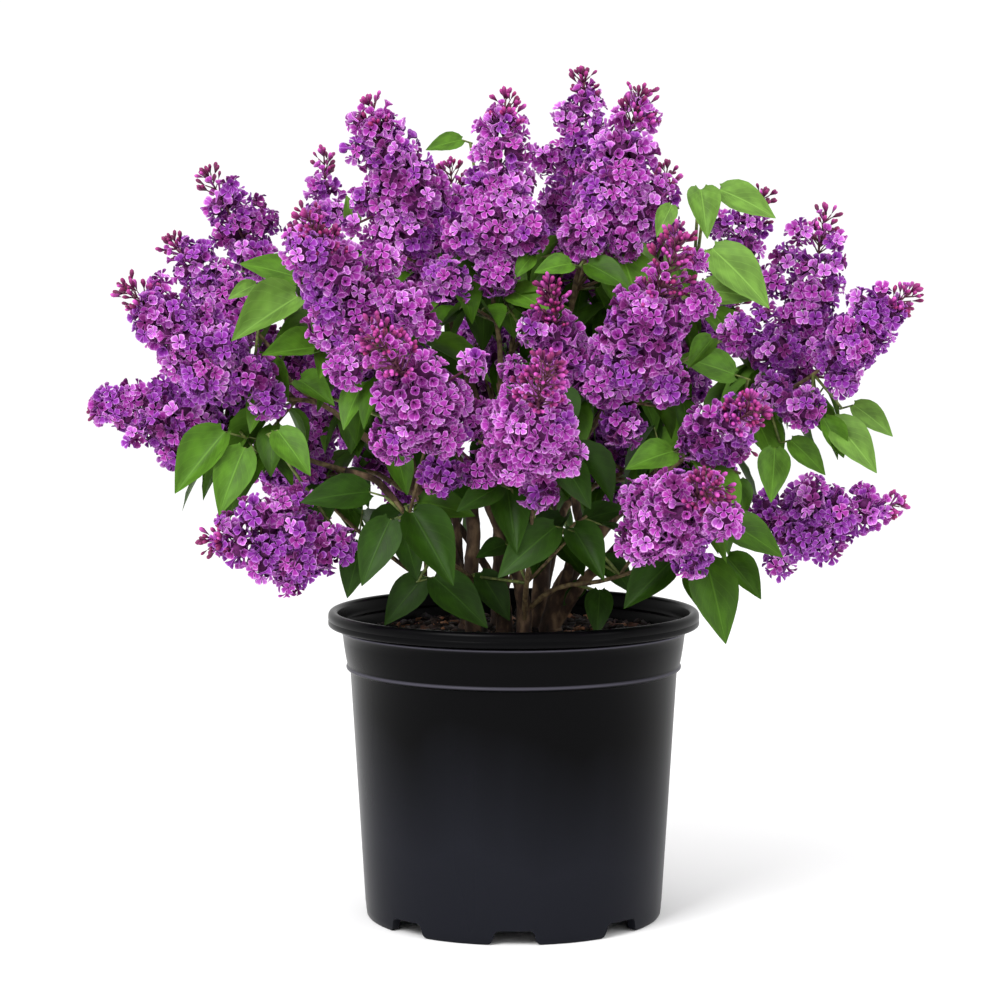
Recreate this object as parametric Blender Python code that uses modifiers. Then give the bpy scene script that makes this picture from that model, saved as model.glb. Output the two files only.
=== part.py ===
"""A lilac bush in full flower, in its round black nursery pot.

Metres, +Z up. The origin is the middle of the pot's flat underside, and the front of the bush faces -Y.
A place on the bush is a bearing (degrees round the pot's axis from +X, so -90 is the front), a distance
out from that axis and a height over the floor. Seven stems rise from the potting mix. Each runs on into
one mass of foliage, and boughs spring from the stems' sides to carry the other masses. A mass is one
solid: twigs that branch from a single stem, with leaves in opposite pairs and a panicle of blossom at
the end of each main twig."""

import math
import random
from collections import namedtuple

import bmesh
import bpy
from mathutils import Matrix, Vector
from mathutils.bvhtree import BVHTree

SEED = 47
GAP = 0.0003  # clearance wherever two pieces meet
UP = Vector((0, 0, 1))

# The pot
POT_HEIGHT = 0.232
RIM_RADIUS = 0.140
RIM_DEPTH = 0.012  # height of the rolled rim
BAND_RADIUS = 0.130  # just below the rim
LEDGE_RADIUS = 0.1245  # foot of the band, where the body starts
LEDGE_HEIGHT = 0.189
BAND_MIDDLE = 0.206
LEDGE_STEP = 0.001  # how far the body stands in from the band's foot
FOOT_RADIUS = 0.112
WALL = 0.002
PLATE = 0.0025  # thickness of the bottom
CHANNEL_HEIGHT = 0.0115  # the bottom between the feet and the middle pad
PAD_RADIUS = 0.055  # the middle of the bottom, which stands on the floor
FEET = 8
NOTCH_WIDTH = 0.033
NOTCH_TOP_WIDTH = 0.028
NOTCH_HEIGHT = 0.0107
NOTCH_CORNER = 0.003
NOTCH_DEPTH = 0.030  # the cutter's length across the foot ring
DRAIN_RADIUS = 0.007
DRAIN_SIDES = 6
POT_SIDES = 32
SOIL_HEIGHT = 0.210

# Leaves, twigs and blossom
LEAF_LENGTH = 0.060
LEAF_WIDTH = 0.042
LEAF_BELLY = 0.30  # the blade is widest this share of the way along it
LEAF_THICK = 0.0011
PETIOLE = 0.018
PETIOLE_RADIUS = 0.0008
LEAF_ROLL = 0.45  # most a blade tips to one side, in radians
LEAF_HANG = (0.35, 1.15)  # least and most a blade hangs down, in radians
LEAF_SIZES = (1, 0.8)  # a leaf with no room at the first of these is tried at the second
TWIG_STEP = 0.034  # between two pairs of leaves
TWIG_RADIUS = 0.0023
TIP_RADIUS = 0.0014
BOUGH_TIP = 0.0026  # radius
ROOT_FLARE = 1.3  # a stem's foot against its thickness just above
FLARE_HEIGHT = 0.010
STEM_CROOK = 0.0020  # how far a limb wanders off its bend
BOUGH_CROOK = 0.0012
BOUGH_SHARE = 0.62  # a bough's radius against its stem's, where it springs
SHOOT_LENGTH = (0.040, 0.062)  # least and most
SHOOTS = 1  # leafy side shoots on a mass with blossom
SKIRT_SHOOTS = 4
PANICLE_SIDES = 8
PANICLE_TIER = 0.019  # height of one tier of its clusters
PANICLE_SWELL = 0.36  # a panicle swells over this share of its length
PANICLE_FULL = 0.22  # and starts to taper this share of the way up
PANICLE_END = 0.18  # share of its girth that is left at its tip
PANICLE_KNOB = 0.12  # how far its clusters stand out, as a share of its radius
PANICLE_SINK = 0.012  # how far a panicle's twig runs up inside it
HEART_HEIGHT = 0.285  # the boughs fan out from round this point on the axis
FORK_SHARE = 0.60  # where a limb ends, on the way from the heart to its panicles

Panicle = namedtuple("Panicle", "bearing out height lean turn length girth")
Stem = namedtuple("Stem", "name bearing out thickness mass")
Bough = namedtuple("Bough", "mass stem share")
Leaf = namedtuple("Leaf", "bearing out height heading hang length")

# Each mass: its panicles by their tips. A lean is the angle off upright, towards the bearing plus turn.
PANICLES = {
    "far_left": [Panicle(180, 0.318, 0.386, 82, 0, 0.108, 0.062)],
    "left": [
        Panicle(-171, 0.290, 0.476, 50, -5, 0.115, 0.072),
        Panicle(173, 0.265, 0.510, 45, 0, 0.100, 0.060),
    ],
    "left_top": [
        Panicle(168, 0.240, 0.562, 30, 0, 0.084, 0.050),
        Panicle(146, 0.178, 0.580, 14, -45, 0.090, 0.044),
    ],
    "front_left_high": [Panicle(-134, 0.210, 0.530, 38, 15, 0.128, 0.070)],
    "top_left": [Panicle(-170, 0.112, 0.616, 24, 10, 0.138, 0.072)],
    "top_centre": [Panicle(-100, 0.030, 0.621, 6, 60, 0.140, 0.066)],
    "top_right": [
        Panicle(49, 0.080, 0.640, 7, 78, 0.105, 0.050),
        Panicle(0, 0.095, 0.622, 16, 15, 0.122, 0.072),
    ],
    "back_right_top": [
        Panicle(40, 0.158, 0.570, 20, 20, 0.090, 0.046),
        Panicle(22, 0.210, 0.548, 25, 5, 0.100, 0.046),
    ],
    "right_high": [Panicle(5, 0.238, 0.537, 12, 15, 0.146, 0.056)],
    "right": [Panicle(-7, 0.298, 0.475, 48, -7, 0.092, 0.052)],
    "right_front": [Panicle(-52, 0.190, 0.515, 36, -10, 0.145, 0.074)],
    "centre": [Panicle(-76, 0.101, 0.482, 26, -35, 0.092, 0.048)],
    "front": [Panicle(-84, 0.232, 0.430, 54, 5, 0.140, 0.074)],
    "front_left": [Panicle(-114, 0.240, 0.450, 56, 0, 0.145, 0.072)],
    "front_right": [
        Panicle(-39, 0.222, 0.394, 65, -20, 0.090, 0.058),
        Panicle(-58, 0.260, 0.345, 68, -10, 0.115, 0.072),
    ],
    "low_right": [Panicle(-10, 0.292, 0.317, 80, 10, 0.108, 0.060)],
    "low_left": [Panicle(-161, 0.242, 0.292, 86, -15, 0.104, 0.062)],
    "back_low_right": [
        Panicle(42, 0.258, 0.350, 74, 0, 0.115, 0.064),
        Panicle(66, 0.255, 0.372, 70, 0, 0.110, 0.062),
    ],
    "back_low": [Panicle(90, 0.262, 0.345, 76, 0, 0.118, 0.066)],
    "back_low_left": [
        Panicle(124, 0.258, 0.366, 72, 0, 0.115, 0.064),
        Panicle(150, 0.270, 0.350, 76, 0, 0.110, 0.062),
    ],
    "back_right": [
        Panicle(40, 0.232, 0.462, 50, 0, 0.120, 0.066),
        Panicle(68, 0.222, 0.478, 46, 0, 0.120, 0.066),
    ],
    "back": [Panicle(98, 0.216, 0.470, 48, 0, 0.125, 0.068)],
    "back_left": [
        Panicle(126, 0.222, 0.486, 44, 0, 0.120, 0.066),
        Panicle(152, 0.236, 0.440, 58, 0, 0.112, 0.062),
    ],
    "back_top": [
        Panicle(70, 0.132, 0.576, 22, 0, 0.118, 0.062),
        Panicle(114, 0.124, 0.572, 20, 0, 0.115, 0.060),
    ],
}

# Leafy masses with no blossom, low round the stems: where the main twig of each ends.
SKIRTS = {
    "skirt_front_left": (-132, 0.128, 0.322),
    "skirt_front": (-84, 0.122, 0.318),
    "skirt_front_right": (-36, 0.146, 0.286),
    "skirt_right": (12, 0.170, 0.330),
    "skirt_back": (80, 0.140, 0.312),
    "skirt_left": (171, 0.152, 0.321),
}

STEMS = [
    Stem("centre", -125, 0.012, 0.013, "top_centre"),
    Stem("right", 4, 0.028, 0.016, "right_high"),
    Stem("left", 178, 0.030, 0.013, "top_left"),
    Stem("far_left", 140, 0.046, 0.012, "left"),
    Stem("back", 58, 0.036, 0.014, "top_right"),
    Stem("back_left", 104, 0.048, 0.012, "back_top"),
    Stem("front", -78, 0.036, 0.012, "front"),
]

# The other masses, each on a bough that springs this share of the way up a stem.
BOUGHS = [
    Bough("far_left", "far_left", 0.42),
    Bough("low_left", "left", 0.26),
    Bough("left_top", "far_left", 0.66),
    Bough("front_left_high", "left", 0.58),
    Bough("front_left", "front", 0.46),
    Bough("centre", "centre", 0.62),
    Bough("right_front", "right", 0.52),
    Bough("front_right", "right", 0.34),
    Bough("low_right", "right", 0.15),
    Bough("right", "right", 0.72),
    Bough("back_right_top", "back", 0.60),
    Bough("back_low_right", "back", 0.24),
    Bough("back_right", "back", 0.42),
    Bough("back_low", "back_left", 0.22),
    Bough("back", "back_left", 0.46),
    Bough("back_left", "far_left", 0.30),
    Bough("back_low_left", "back_left", 0.34),
]

# The skirts spring straight from a stem's side, this share of the way up it.
SKIRT_STEMS = {
    "skirt_front_left": ("centre", 0.26),
    "skirt_front": ("front", 0.26),
    "skirt_front_right": ("front", 0.34),
    "skirt_right": ("back", 0.14),
    "skirt_back": ("back_left", 0.12),
    "skirt_left": ("far_left", 0.16),
}

# Leaves that stand out of the crown: where the blade starts, which way it points and how far it hangs.
SHOWING = {
    "left": [Leaf(-162, 0.166, 0.482, -151, -10, 0.050), Leaf(-159, 0.169, 0.468, -144, 35, 0.062)],
    "far_left": [Leaf(-163, 0.206, 0.358, -123, 61, 0.052), Leaf(-167, 0.218, 0.369, -161, 56, 0.058)],
    "low_left": [Leaf(-155, 0.189, 0.372, -60, 46, 0.046)],
    "front_left_high": [Leaf(-157, 0.154, 0.431, -151, 11, 0.046)],
    "top_centre": [Leaf(134, 0.056, 0.585, -157, 17, 0.034)],
    "back_right_top": [Leaf(-12, 0.140, 0.546, -80, 58, 0.044), Leaf(-15, 0.156, 0.546, -16, 28, 0.048)],
    "right_front": [Leaf(-29, 0.163, 0.503, -31, 46, 0.060), Leaf(-31, 0.156, 0.473, -14, 10, 0.046)],
    "right": [Leaf(-5, 0.238, 0.380, -37, 48, 0.052), Leaf(0, 0.252, 0.390, -21, 38, 0.042)],
    "low_right": [Leaf(-23, 0.205, 0.361, -95, 60, 0.044)],
    "skirt_front_left": [
        Leaf(-136, 0.145, 0.329, -154, 10, 0.052),
        Leaf(-128, 0.139, 0.310, -131, 57, 0.054),
        Leaf(-126, 0.123, 0.312, -45, 60, 0.062),
        Leaf(-131, 0.092, 0.263, -35, 42, 0.056),
    ],
    "skirt_front": [
        Leaf(-68, 0.108, 0.303, -46, 52, 0.050),
        Leaf(-97, 0.141, 0.327, -25, 55, 0.050),
    ],
    "skirt_front_right": [
        Leaf(-38, 0.147, 0.282, -160, 50, 0.054),
        Leaf(-41, 0.181, 0.282, -65, 67, 0.060),
        Leaf(-36, 0.188, 0.283, -27, 54, 0.044),
    ],
}


def collection(name):
    made = bpy.data.collections.new(name)
    bpy.context.scene.collection.children.link(made)
    return made


def material(name, colour, roughness):
    made = bpy.data.materials.new(name)
    made.use_nodes = True
    made.diffuse_color = (*colour, 1)
    shader = made.node_tree.nodes["Principled BSDF"]
    shader.inputs["Base Color"].default_value = (*colour, 1)
    shader.inputs["Roughness"].default_value = roughness
    shader.inputs["Metallic"].default_value = 0.0
    return made


def new_object(name, bm, finish, where):
    """The bmesh as an object of this collection, smooth but for its real edges."""
    mesh = bpy.data.meshes.new(name)
    bm.to_mesh(mesh)
    bm.free()
    mesh.materials.append(finish)
    mesh.shade_smooth()
    mesh.set_sharp_from_angle(angle=math.radians(40))
    obj = bpy.data.objects.new(name, mesh)
    where.objects.link(obj)
    return obj


def place(bearing, out, height):
    turn = math.radians(bearing)
    return Vector((out * math.cos(turn), out * math.sin(turn), height))


def heading(bearing):
    return place(bearing, 1, 0)


# The pot


def wall_radius(height):
    """Outer radius of the pot's wall below the rim."""
    if height > LEDGE_HEIGHT:
        rise = (height - LEDGE_HEIGHT) / (POT_HEIGHT - RIM_DEPTH - LEDGE_HEIGHT)
        return LEDGE_RADIUS + (BAND_RADIUS - LEDGE_RADIUS) * rise**0.6
    return FOOT_RADIUS + (LEDGE_RADIUS - LEDGE_STEP - FOOT_RADIUS) * height / LEDGE_HEIGHT


def turned(name, profile, steps, finish, where):
    """A profile of (radius, height) points spun round the Z axis."""
    bm = bmesh.new()
    ring = [bm.verts.new((radius, 0, height)) for radius, height in profile]
    for first, second in zip(ring, ring[1:]):
        bm.edges.new((first, second))
    obj = new_object(name, bm, finish, where)
    screw = obj.modifiers.new("turn", "SCREW")
    screw.steps = steps
    screw.render_steps = steps
    screw.use_merge_vertices = True
    screw.merge_threshold = 0.00001
    return obj


def pot_profile():
    rim_foot = POT_HEIGHT - RIM_DEPTH
    channel_top = CHANNEL_HEIGHT + PLATE
    slope = 0.003  # run of the sloping side of the middle pad
    inside = [(0, PLATE), (PAD_RADIUS - PLATE, PLATE), (PAD_RADIUS + slope - PLATE, channel_top)]
    for height in (channel_top, LEDGE_HEIGHT - 0.002, LEDGE_HEIGHT + 0.003, BAND_MIDDLE, rim_foot):
        inside.append((wall_radius(height) - WALL, height))
    rim = [
        (RIM_RADIUS - 0.0075, POT_HEIGHT - 0.0025),
        (RIM_RADIUS - 0.0040, POT_HEIGHT),
        (RIM_RADIUS - 0.0008, POT_HEIGHT - 0.0020),
        (RIM_RADIUS, POT_HEIGHT - 0.0060),
        (RIM_RADIUS - 0.0008, rim_foot + 0.0005),
    ]
    outside = [(wall_radius(height), height) for height in (rim_foot, BAND_MIDDLE, LEDGE_HEIGHT + 0.002)]
    outside += [(wall_radius(height), height) for height in (LEDGE_HEIGHT - 0.001, 0.002)]
    foot = [
        (FOOT_RADIUS - 0.001, 0),
        (FOOT_RADIUS - 0.006, 0),
        (FOOT_RADIUS - 0.007, CHANNEL_HEIGHT),
        (PAD_RADIUS + slope, CHANNEL_HEIGHT),
        (PAD_RADIUS, 0),
        (0, 0),
    ]
    return inside + rim + outside + foot


def cut(obj, cutter, name, solver="EXACT"):
    cutter.hide_render = True
    cutter.display_type = "WIRE"
    boolean = obj.modifiers.new(name, "BOOLEAN")
    boolean.operation = "DIFFERENCE"
    boolean.solver = solver
    boolean.object = cutter


def notch_cutter(bearing, finish, where):
    """A tapered block with its two upper corners taken off, laid across the foot ring."""
    bm = bmesh.new()
    bmesh.ops.create_cube(bm, size=1)
    for vert in bm.verts:
        upper = vert.co.z > 0
        width = NOTCH_TOP_WIDTH if upper else NOTCH_WIDTH
        vert.co = (vert.co.x * NOTCH_DEPTH, vert.co.y * width, NOTCH_HEIGHT if upper else -0.002)
    upper_edges = [edge for edge in bm.edges if all(vert.co.z > 0 for vert in edge.verts)]
    corners = [edge for edge in upper_edges if edge.verts[0].co.y == edge.verts[1].co.y]
    bmesh.ops.bevel(bm, geom=corners, offset=NOTCH_CORNER, segments=1, affect="EDGES")
    cutter = new_object(f"notch_cutter_{bearing:.0f}", bm, finish, where)
    cutter.location = place(bearing, FOOT_RADIUS - 0.002, 0)
    cutter.rotation_euler.z = math.radians(bearing)
    return cutter


def drain_cutter(bearing, finish, where):
    bm = bmesh.new()
    bmesh.ops.create_cone(
        bm, cap_ends=True, segments=DRAIN_SIDES, radius1=DRAIN_RADIUS, radius2=DRAIN_RADIUS, depth=4 * PLATE
    )
    cutter = new_object(f"drain_cutter_{bearing:.0f}", bm, finish, where)
    cutter.location = place(bearing, (PAD_RADIUS + FOOT_RADIUS) / 2, CHANNEL_HEIGHT + PLATE / 2)
    return cutter


def build_pot(finish, parts, cutters):
    pot = turned("pot", pot_profile(), POT_SIDES, finish, parts)
    for foot in range(FEET):
        bearing = -90 + 360 / FEET * foot
        cut(pot, notch_cutter(bearing, finish, cutters), "notch")
        cut(pot, drain_cutter(bearing + 180 / FEET, finish, cutters), "drain")


def build_potting_mix(finish, parts):
    """It fills the pot, a gap clear of the wall and the bottom, and its top is level."""
    low = CHANNEL_HEIGHT + PLATE + GAP
    outer = [(wall_radius(height) - WALL - GAP, height) for height in (BAND_MIDDLE, LEDGE_HEIGHT + 0.003)]
    outer += [(wall_radius(height) - WALL - GAP, height) for height in (LEDGE_HEIGHT - 0.002, low)]
    top = [(0, SOIL_HEIGHT), (outer[0][0] - 0.003, SOIL_HEIGHT)]
    turned("potting_mix", top + outer + [(0, low)], POT_SIDES // 2, finish, parts)


# Limbs


def bezier(start, start_way, end, end_way, count):
    """Points along one smooth bend that leaves and arrives in the given directions."""
    reach = (end - start).length / 3
    knots = (start, start + start_way * reach, end - end_way * reach, end)
    points = []
    for index in range(count):
        s = index / (count - 1)
        weights = ((1 - s) ** 3, 3 * s * (1 - s) ** 2, 3 * s * s * (1 - s), s**3)
        points.append(sum((knot * weight for knot, weight in zip(knots, weights)), Vector()))
    return points


def squared_off(points, way):
    """The same line with its last step along way, so that its flat end faces that way."""
    return points[:-2] + [points[-1] - way * (points[-1] - points[-2]).length, points[-1]]


def crooked(points, amount, rng):
    """The same line with its inner points moved a little off it, both ends kept."""
    drawn = [Vector((rng.uniform(-1, 1), rng.uniform(-1, 1), 0)) * amount for _ in points]
    return [points[0], points[1]] + [p + d for p, d in zip(points[2:-2], drawn)] + points[-2:]


def tapered(points, first, last):
    """The points of a limb or twig, and its radius at each."""
    steps = len(points) - 1
    return points, [first + (last - first) * index / steps for index in range(steps + 1)]


def tube(points, radii, sides):
    """A tapering limb with flat ends, as a closed mesh: a round of 6 or 8 sides, or a slim twig of 3."""
    curve = bpy.data.curves.new("guide", "CURVE")
    curve.dimensions = "3D"
    curve.use_fill_caps = True
    if sides == 3:
        curve.bevel_mode = "OBJECT"
        curve.bevel_object = bpy.data.objects["twig_section"]
    else:
        curve.bevel_depth = 1
        curve.bevel_resolution = sides // 2 - 2
    spline = curve.splines.new("POLY")
    spline.points.add(len(points) - 1)
    for spot, point, radius in zip(spline.points, points, radii):
        spot.co = (*point, 1)
        spot.radius = radius
    guide = bpy.data.objects.new("guide", curve)
    bpy.context.scene.collection.objects.link(guide)
    mesh = bpy.data.meshes.new_from_object(guide.evaluated_get(bpy.context.evaluated_depsgraph_get()))
    bpy.data.objects.remove(guide)
    bm = bmesh.new()
    bm.from_mesh(mesh)
    bpy.data.meshes.remove(mesh)
    bmesh.ops.remove_doubles(bm, verts=bm.verts, dist=0.000001)
    bmesh.ops.holes_fill(bm, edges=bm.edges, sides=3)
    bmesh.ops.recalc_face_normals(bm, faces=bm.faces)
    return outward(bm)


def outward(bm):
    """The closed mesh with its faces turned outwards."""
    if bm.calc_volume(signed=True) < 0:
        bmesh.ops.reverse_faces(bm, faces=bm.faces)
    return bm


def twig_section(where):
    """The three-sided outline that a twig is swept with."""
    curve = bpy.data.curves.new("twig_section", "CURVE")
    curve.dimensions = "2D"
    spline = curve.splines.new("POLY")
    spline.points.add(2)
    for spot, turn in zip(spline.points, (90, 210, 330)):
        spot.co = (math.cos(math.radians(turn)), math.sin(math.radians(turn)), 0, 1)
    spline.use_cyclic_u = True
    section = bpy.data.objects.new("twig_section", curve)
    where.objects.link(section)
    section.hide_render = True


class Limb:
    """A stem or a bough: the points and radii of its line."""

    def __init__(self, points, radii):
        self.points = points
        self.radii = radii

    def at(self, share):
        """The place, direction and radius this share of the way along."""
        spot = share * (len(self.points) - 1)
        index = min(int(spot), len(self.points) - 2)
        rest = spot - index
        low, high = self.points[index], self.points[index + 1]
        radius = self.radii[index] * (1 - rest) + self.radii[index + 1] * rest
        return low.lerp(high, rest), (high - low).normalized(), radius


def panicle_axis(row):
    lean = math.radians(row.lean)
    return heading(row.bearing + row.turn) * math.sin(lean) + UP * math.cos(lean)


def panicle_foot(row):
    return place(row.bearing, row.out, row.height) - panicle_axis(row) * row.length


def joint(mass):
    """Where the limb that carries a flowering mass ends, and its direction there."""
    feet = [panicle_foot(row) for row in PANICLES[mass]]
    middle = sum(feet, Vector()) / len(feet)
    heart = UP * HEART_HEIGHT
    spot = heart.lerp(middle, FORK_SHARE)
    axis = sum((panicle_axis(row) for row in PANICLES[mass]), Vector()).normalized()
    return spot, (axis + (middle - spot).normalized() * 2).normalized()


def stem_limb(row, rng):
    foot = place(row.bearing, row.out, SOIL_HEIGHT + GAP)
    end, way = joint(row.mass)
    lean = (UP * 1.4 + heading(row.bearing) * 0.25).normalized()
    bend = bezier(foot + UP * FLARE_HEIGHT, lean, end, way, 7)
    points = [foot, foot + UP * FLARE_HEIGHT * 0.4] + squared_off(crooked(bend, STEM_CROOK, rng), way)
    thick = row.thickness / 2
    radii = [thick * ROOT_FLARE, thick * (1 + ROOT_FLARE) / 2]
    for index in range(len(bend)):
        share = index / (len(bend) - 1)
        radii.append(thick * (1 - share) + BOUGH_TIP * 1.15 * share)
    return Limb(points, radii)


def bough_limb(row, stems, rng):
    start, along, radius = stems[row.stem].at(row.share)
    end, way = joint(row.mass)
    spread = (end - start).normalized()
    bend = bezier(start, (spread + along * 0.45).normalized(), end, way, 6)
    points = squared_off(crooked(bend, BOUGH_CROOK, rng), way)
    first = max(radius * BOUGH_SHARE, BOUGH_TIP * 1.1)
    return Limb(*tapered(points, first, BOUGH_TIP))


def build_limbs(bark, parts, cutters):
    """All stems and boughs, and by name the objects that stand for each stem a gap larger."""
    rng = random.Random(SEED)
    stems = {row.name: stem_limb(row, rng) for row in STEMS}
    fat = {}
    for name, limb in stems.items():
        new_object(f"stem_{name}", tube(limb.points, limb.radii, 8), bark, parts)
        fattened = [radius + GAP for radius in limb.radii]
        fat[name] = new_object(f"stem_clearance_{name}", tube(limb.points, fattened, 8), bark, cutters)
    for row in BOUGHS:
        limb = bough_limb(row, stems, rng)
        bough = new_object(f"bough_{row.mass}", tube(limb.points, limb.radii, 6), bark, parts)
        cut(bough, fat[row.stem], "seat")
    return stems, fat


# Masses of foliage


def leaf_shape(root, way, side, hang, length):
    """A keeled kite on a petiole: the petiole leaves along way, and the blade bends down by hang."""
    bm = bmesh.new()
    bmesh.ops.create_uvsphere(bm, u_segments=3, v_segments=3, radius=1)
    flat = Vector((way.x, way.y, 0)).normalized()
    blade = flat * math.cos(hang) - UP * math.sin(hang)
    normal = blade.cross(side).normalized()
    start = root + way * PETIOLE * length / LEAF_LENGTH
    belly = start + blade * length * LEAF_BELLY
    half_width = LEAF_WIDTH / LEAF_LENGTH * length / 2
    for vert in bm.verts:
        across = math.copysign(1, vert.co.x) if abs(vert.co.x) > 0.1 else 0
        keel = normal * (0 if across else 1)
        if vert.co.z > 0.9:
            vert.co = start + blade * length
        elif vert.co.z < -0.9:
            vert.co = root
        elif vert.co.z > 0:
            vert.co = belly + side * half_width * across - keel * LEAF_THICK
        else:
            vert.co = start + side * PETIOLE_RADIUS * across - keel * PETIOLE_RADIUS * 2
    return outward(bm)


def panicle_shape(row):
    """A spindle, full near its foot and slim at its tip, with staggered knobs for its flower clusters."""
    bm = bmesh.new()
    tiers = round(row.length / PANICLE_TIER)
    bmesh.ops.create_uvsphere(bm, u_segments=PANICLE_SIDES, v_segments=tiers, radius=1)
    for vert in bm.verts:
        share = 1 - math.acos(max(-1, min(1, vert.co.z))) / math.pi
        around = math.atan2(vert.co.y, vert.co.x)
        tier = round(share * tiers)
        swell = math.sin(math.pi * min(1, share / PANICLE_SWELL) / 2) ** 0.8
        taper = 1 - (1 - PANICLE_END) * max(0, share - PANICLE_FULL) / (1 - PANICLE_FULL)
        knob = 1.04 + PANICLE_KNOB * math.cos(around * PANICLE_SIDES / 2 + math.pi * tier)
        radius = row.girth / 2 * swell * taper * knob if 0 < share < 1 else 0
        vert.co = (radius * math.cos(around), radius * math.sin(around), row.length * share)
    turn = panicle_axis(row).to_track_quat("Z", "Y").to_matrix().to_4x4()
    bm.transform(Matrix.Translation(panicle_foot(row)) @ turn)
    return bm


def frame_of(way):
    """Two directions square to this one."""
    side = way.cross(UP)
    side = side.normalized() if side.length > 0.05 else Vector((1, 0, 0))
    return side, way.cross(side).normalized()


def leaf_pair(node, way, phase, rng):
    """The two opposite leaves at a node: (root, petiole direction, blade's side, hang, length)."""
    side, other = frame_of(way)
    pair = []
    for half in (0, math.pi):
        angle = phase + half + rng.uniform(-0.3, 0.3)
        out = side * math.cos(angle) + other * math.sin(angle)
        petiole = (out * 0.85 + way * 0.5).normalized()
        flat = Vector((petiole.x, petiole.y, 0))
        if flat.length < 0.15:
            flat = Vector((node.x, node.y, 0)) + side * 0.01
            petiole = (petiole + flat.normalized() * 0.5).normalized()
        roll = rng.uniform(-LEAF_ROLL, LEAF_ROLL)
        across = flat.normalized().cross(UP) * math.cos(roll) + UP * math.sin(roll) * 0.6
        hang = rng.uniform(*LEAF_HANG)
        length = LEAF_LENGTH * rng.uniform(0.82, 1.08)
        pair.append((node, petiole, across.normalized(), hang, length))
    return pair


def middles(points):
    """The middle and the direction of each step of a twig, where its leaves stand."""
    return [((low + high) / 2, (high - low).normalized()) for low, high in zip(points, points[1:])]


def grow(start, way, ends, shoots, rng):
    """The main twigs of a mass, one to each (point, direction) of ends, its sprays and its nodes.

    A spray is the leaves of one main twig, or a side shoot with its leaves."""
    twigs, sprays, nodes = [], [], []
    for spot, final in ends:
        steps = max(2, round((spot - start).length / TWIG_STEP))
        line = bezier(start, way, spot, final, steps + 1)
        line[1] = start + way * (line[1] - start).length
        twigs.append(tapered(line, TWIG_RADIUS, TIP_RADIUS))
        fresh = middles(line)[1:]
        phase = rng.uniform(0, math.pi)
        leaves = [leaf_pair(*node, phase + index * math.pi / 2, rng) for index, node in enumerate(fresh)]
        sprays.append((None, sum(leaves, [])))
        nodes += fresh
        start = line[1]
    for index in range(shoots):
        node, along = nodes[index % len(nodes)]
        side, other = frame_of(along)
        angle = rng.uniform(0, 2 * math.pi)
        spread = (side * math.cos(angle) + other * math.sin(angle) + along * 0.7).normalized()
        length = rng.uniform(*SHOOT_LENGTH)
        tip = node + spread * length
        phase = rng.uniform(0, math.pi)
        leaves = leaf_pair(node + spread * length * 0.5, spread, phase, rng)
        leaves += leaf_pair(tip - spread * 0.003, spread, phase + math.pi / 2, rng)
        sprays.append((tapered([node, tip], TIP_RADIUS, TIP_RADIUS * 0.8), leaves))
    return twigs, sprays, nodes


def show_leaf(row, nodes):
    """A leaf that stands out, on a twig from the nearest node of its mass."""
    start = place(row.bearing, row.out, row.height)
    node = min((spot for spot, _ in nodes), key=lambda spot: (spot - start).length)
    flat = heading(row.heading)
    reach = (flat * 0.8 + (start - node).normalized()).normalized()
    root = start - reach * PETIOLE * row.length / LEAF_LENGTH
    way = (start - root).normalized()
    twig = tapered([node, root + way * 0.002], TIP_RADIUS, TIP_RADIUS * 0.8)
    return twig, (root, way, flat.cross(UP), math.radians(row.hang), row.length)


def tree_of(bm):
    return BVHTree.FromBMesh(bm, epsilon=GAP)


def object_tree(obj):
    graph = bpy.context.evaluated_depsgraph_get()
    evaluated = obj.evaluated_get(graph)
    return BVHTree.FromObject(evaluated, graph, epsilon=GAP)


def clear_of(bm, trees):
    own = tree_of(bm)
    return not any(own.overlap(tree) for tree in trees)


def union(pieces, name, parts):
    """One closed solid from the overlapping shapes, with sealed hollows filled and loose scraps dropped."""
    heap = collection(f"{name}_pieces")
    base = new_object(name, *pieces[0], parts)
    for bm, finish in pieces[1:]:
        new_object(f"{name}_piece", bm, finish, heap)
    join = base.modifiers.new("join", "BOOLEAN")
    join.operation = "UNION"
    join.solver = "MANIFOLD"
    join.operand_type = "COLLECTION"
    join.collection = heap
    graph = bpy.context.evaluated_depsgraph_get()
    joined = bpy.data.meshes.new_from_object(base.evaluated_get(graph))
    base.modifiers.clear()
    for obj in list(heap.objects):
        bpy.data.objects.remove(obj)
    bpy.data.collections.remove(heap)
    bm = bmesh.new()
    bm.from_mesh(joined)
    keep_largest(bm)
    bm.to_mesh(joined)
    bm.free()
    base.data = joined
    return base


def keep_largest(bm):
    """Drops all but the largest closed shell. Faces belong to one shell where just they share an edge."""
    bmesh.ops.triangulate(bm, faces=bm.faces)
    bmesh.ops.remove_doubles(bm, verts=bm.verts, dist=0.000002)
    left = set(bm.faces)
    shells = []
    while left:
        shell, edge = set(), {left.pop()}
        while edge:
            face = edge.pop()
            shell.add(face)
            joined = (e.link_faces for e in face.edges if len(e.link_faces) == 2)
            edge |= {other for faces in joined for other in faces} - shell
        left -= shell
        shells.append(shell)
    largest = max(shells, key=len)
    scraps = [face for shell in shells if shell is not largest for face in shell]
    bmesh.ops.delete(bm, geom=scraps, context="FACES")


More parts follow.
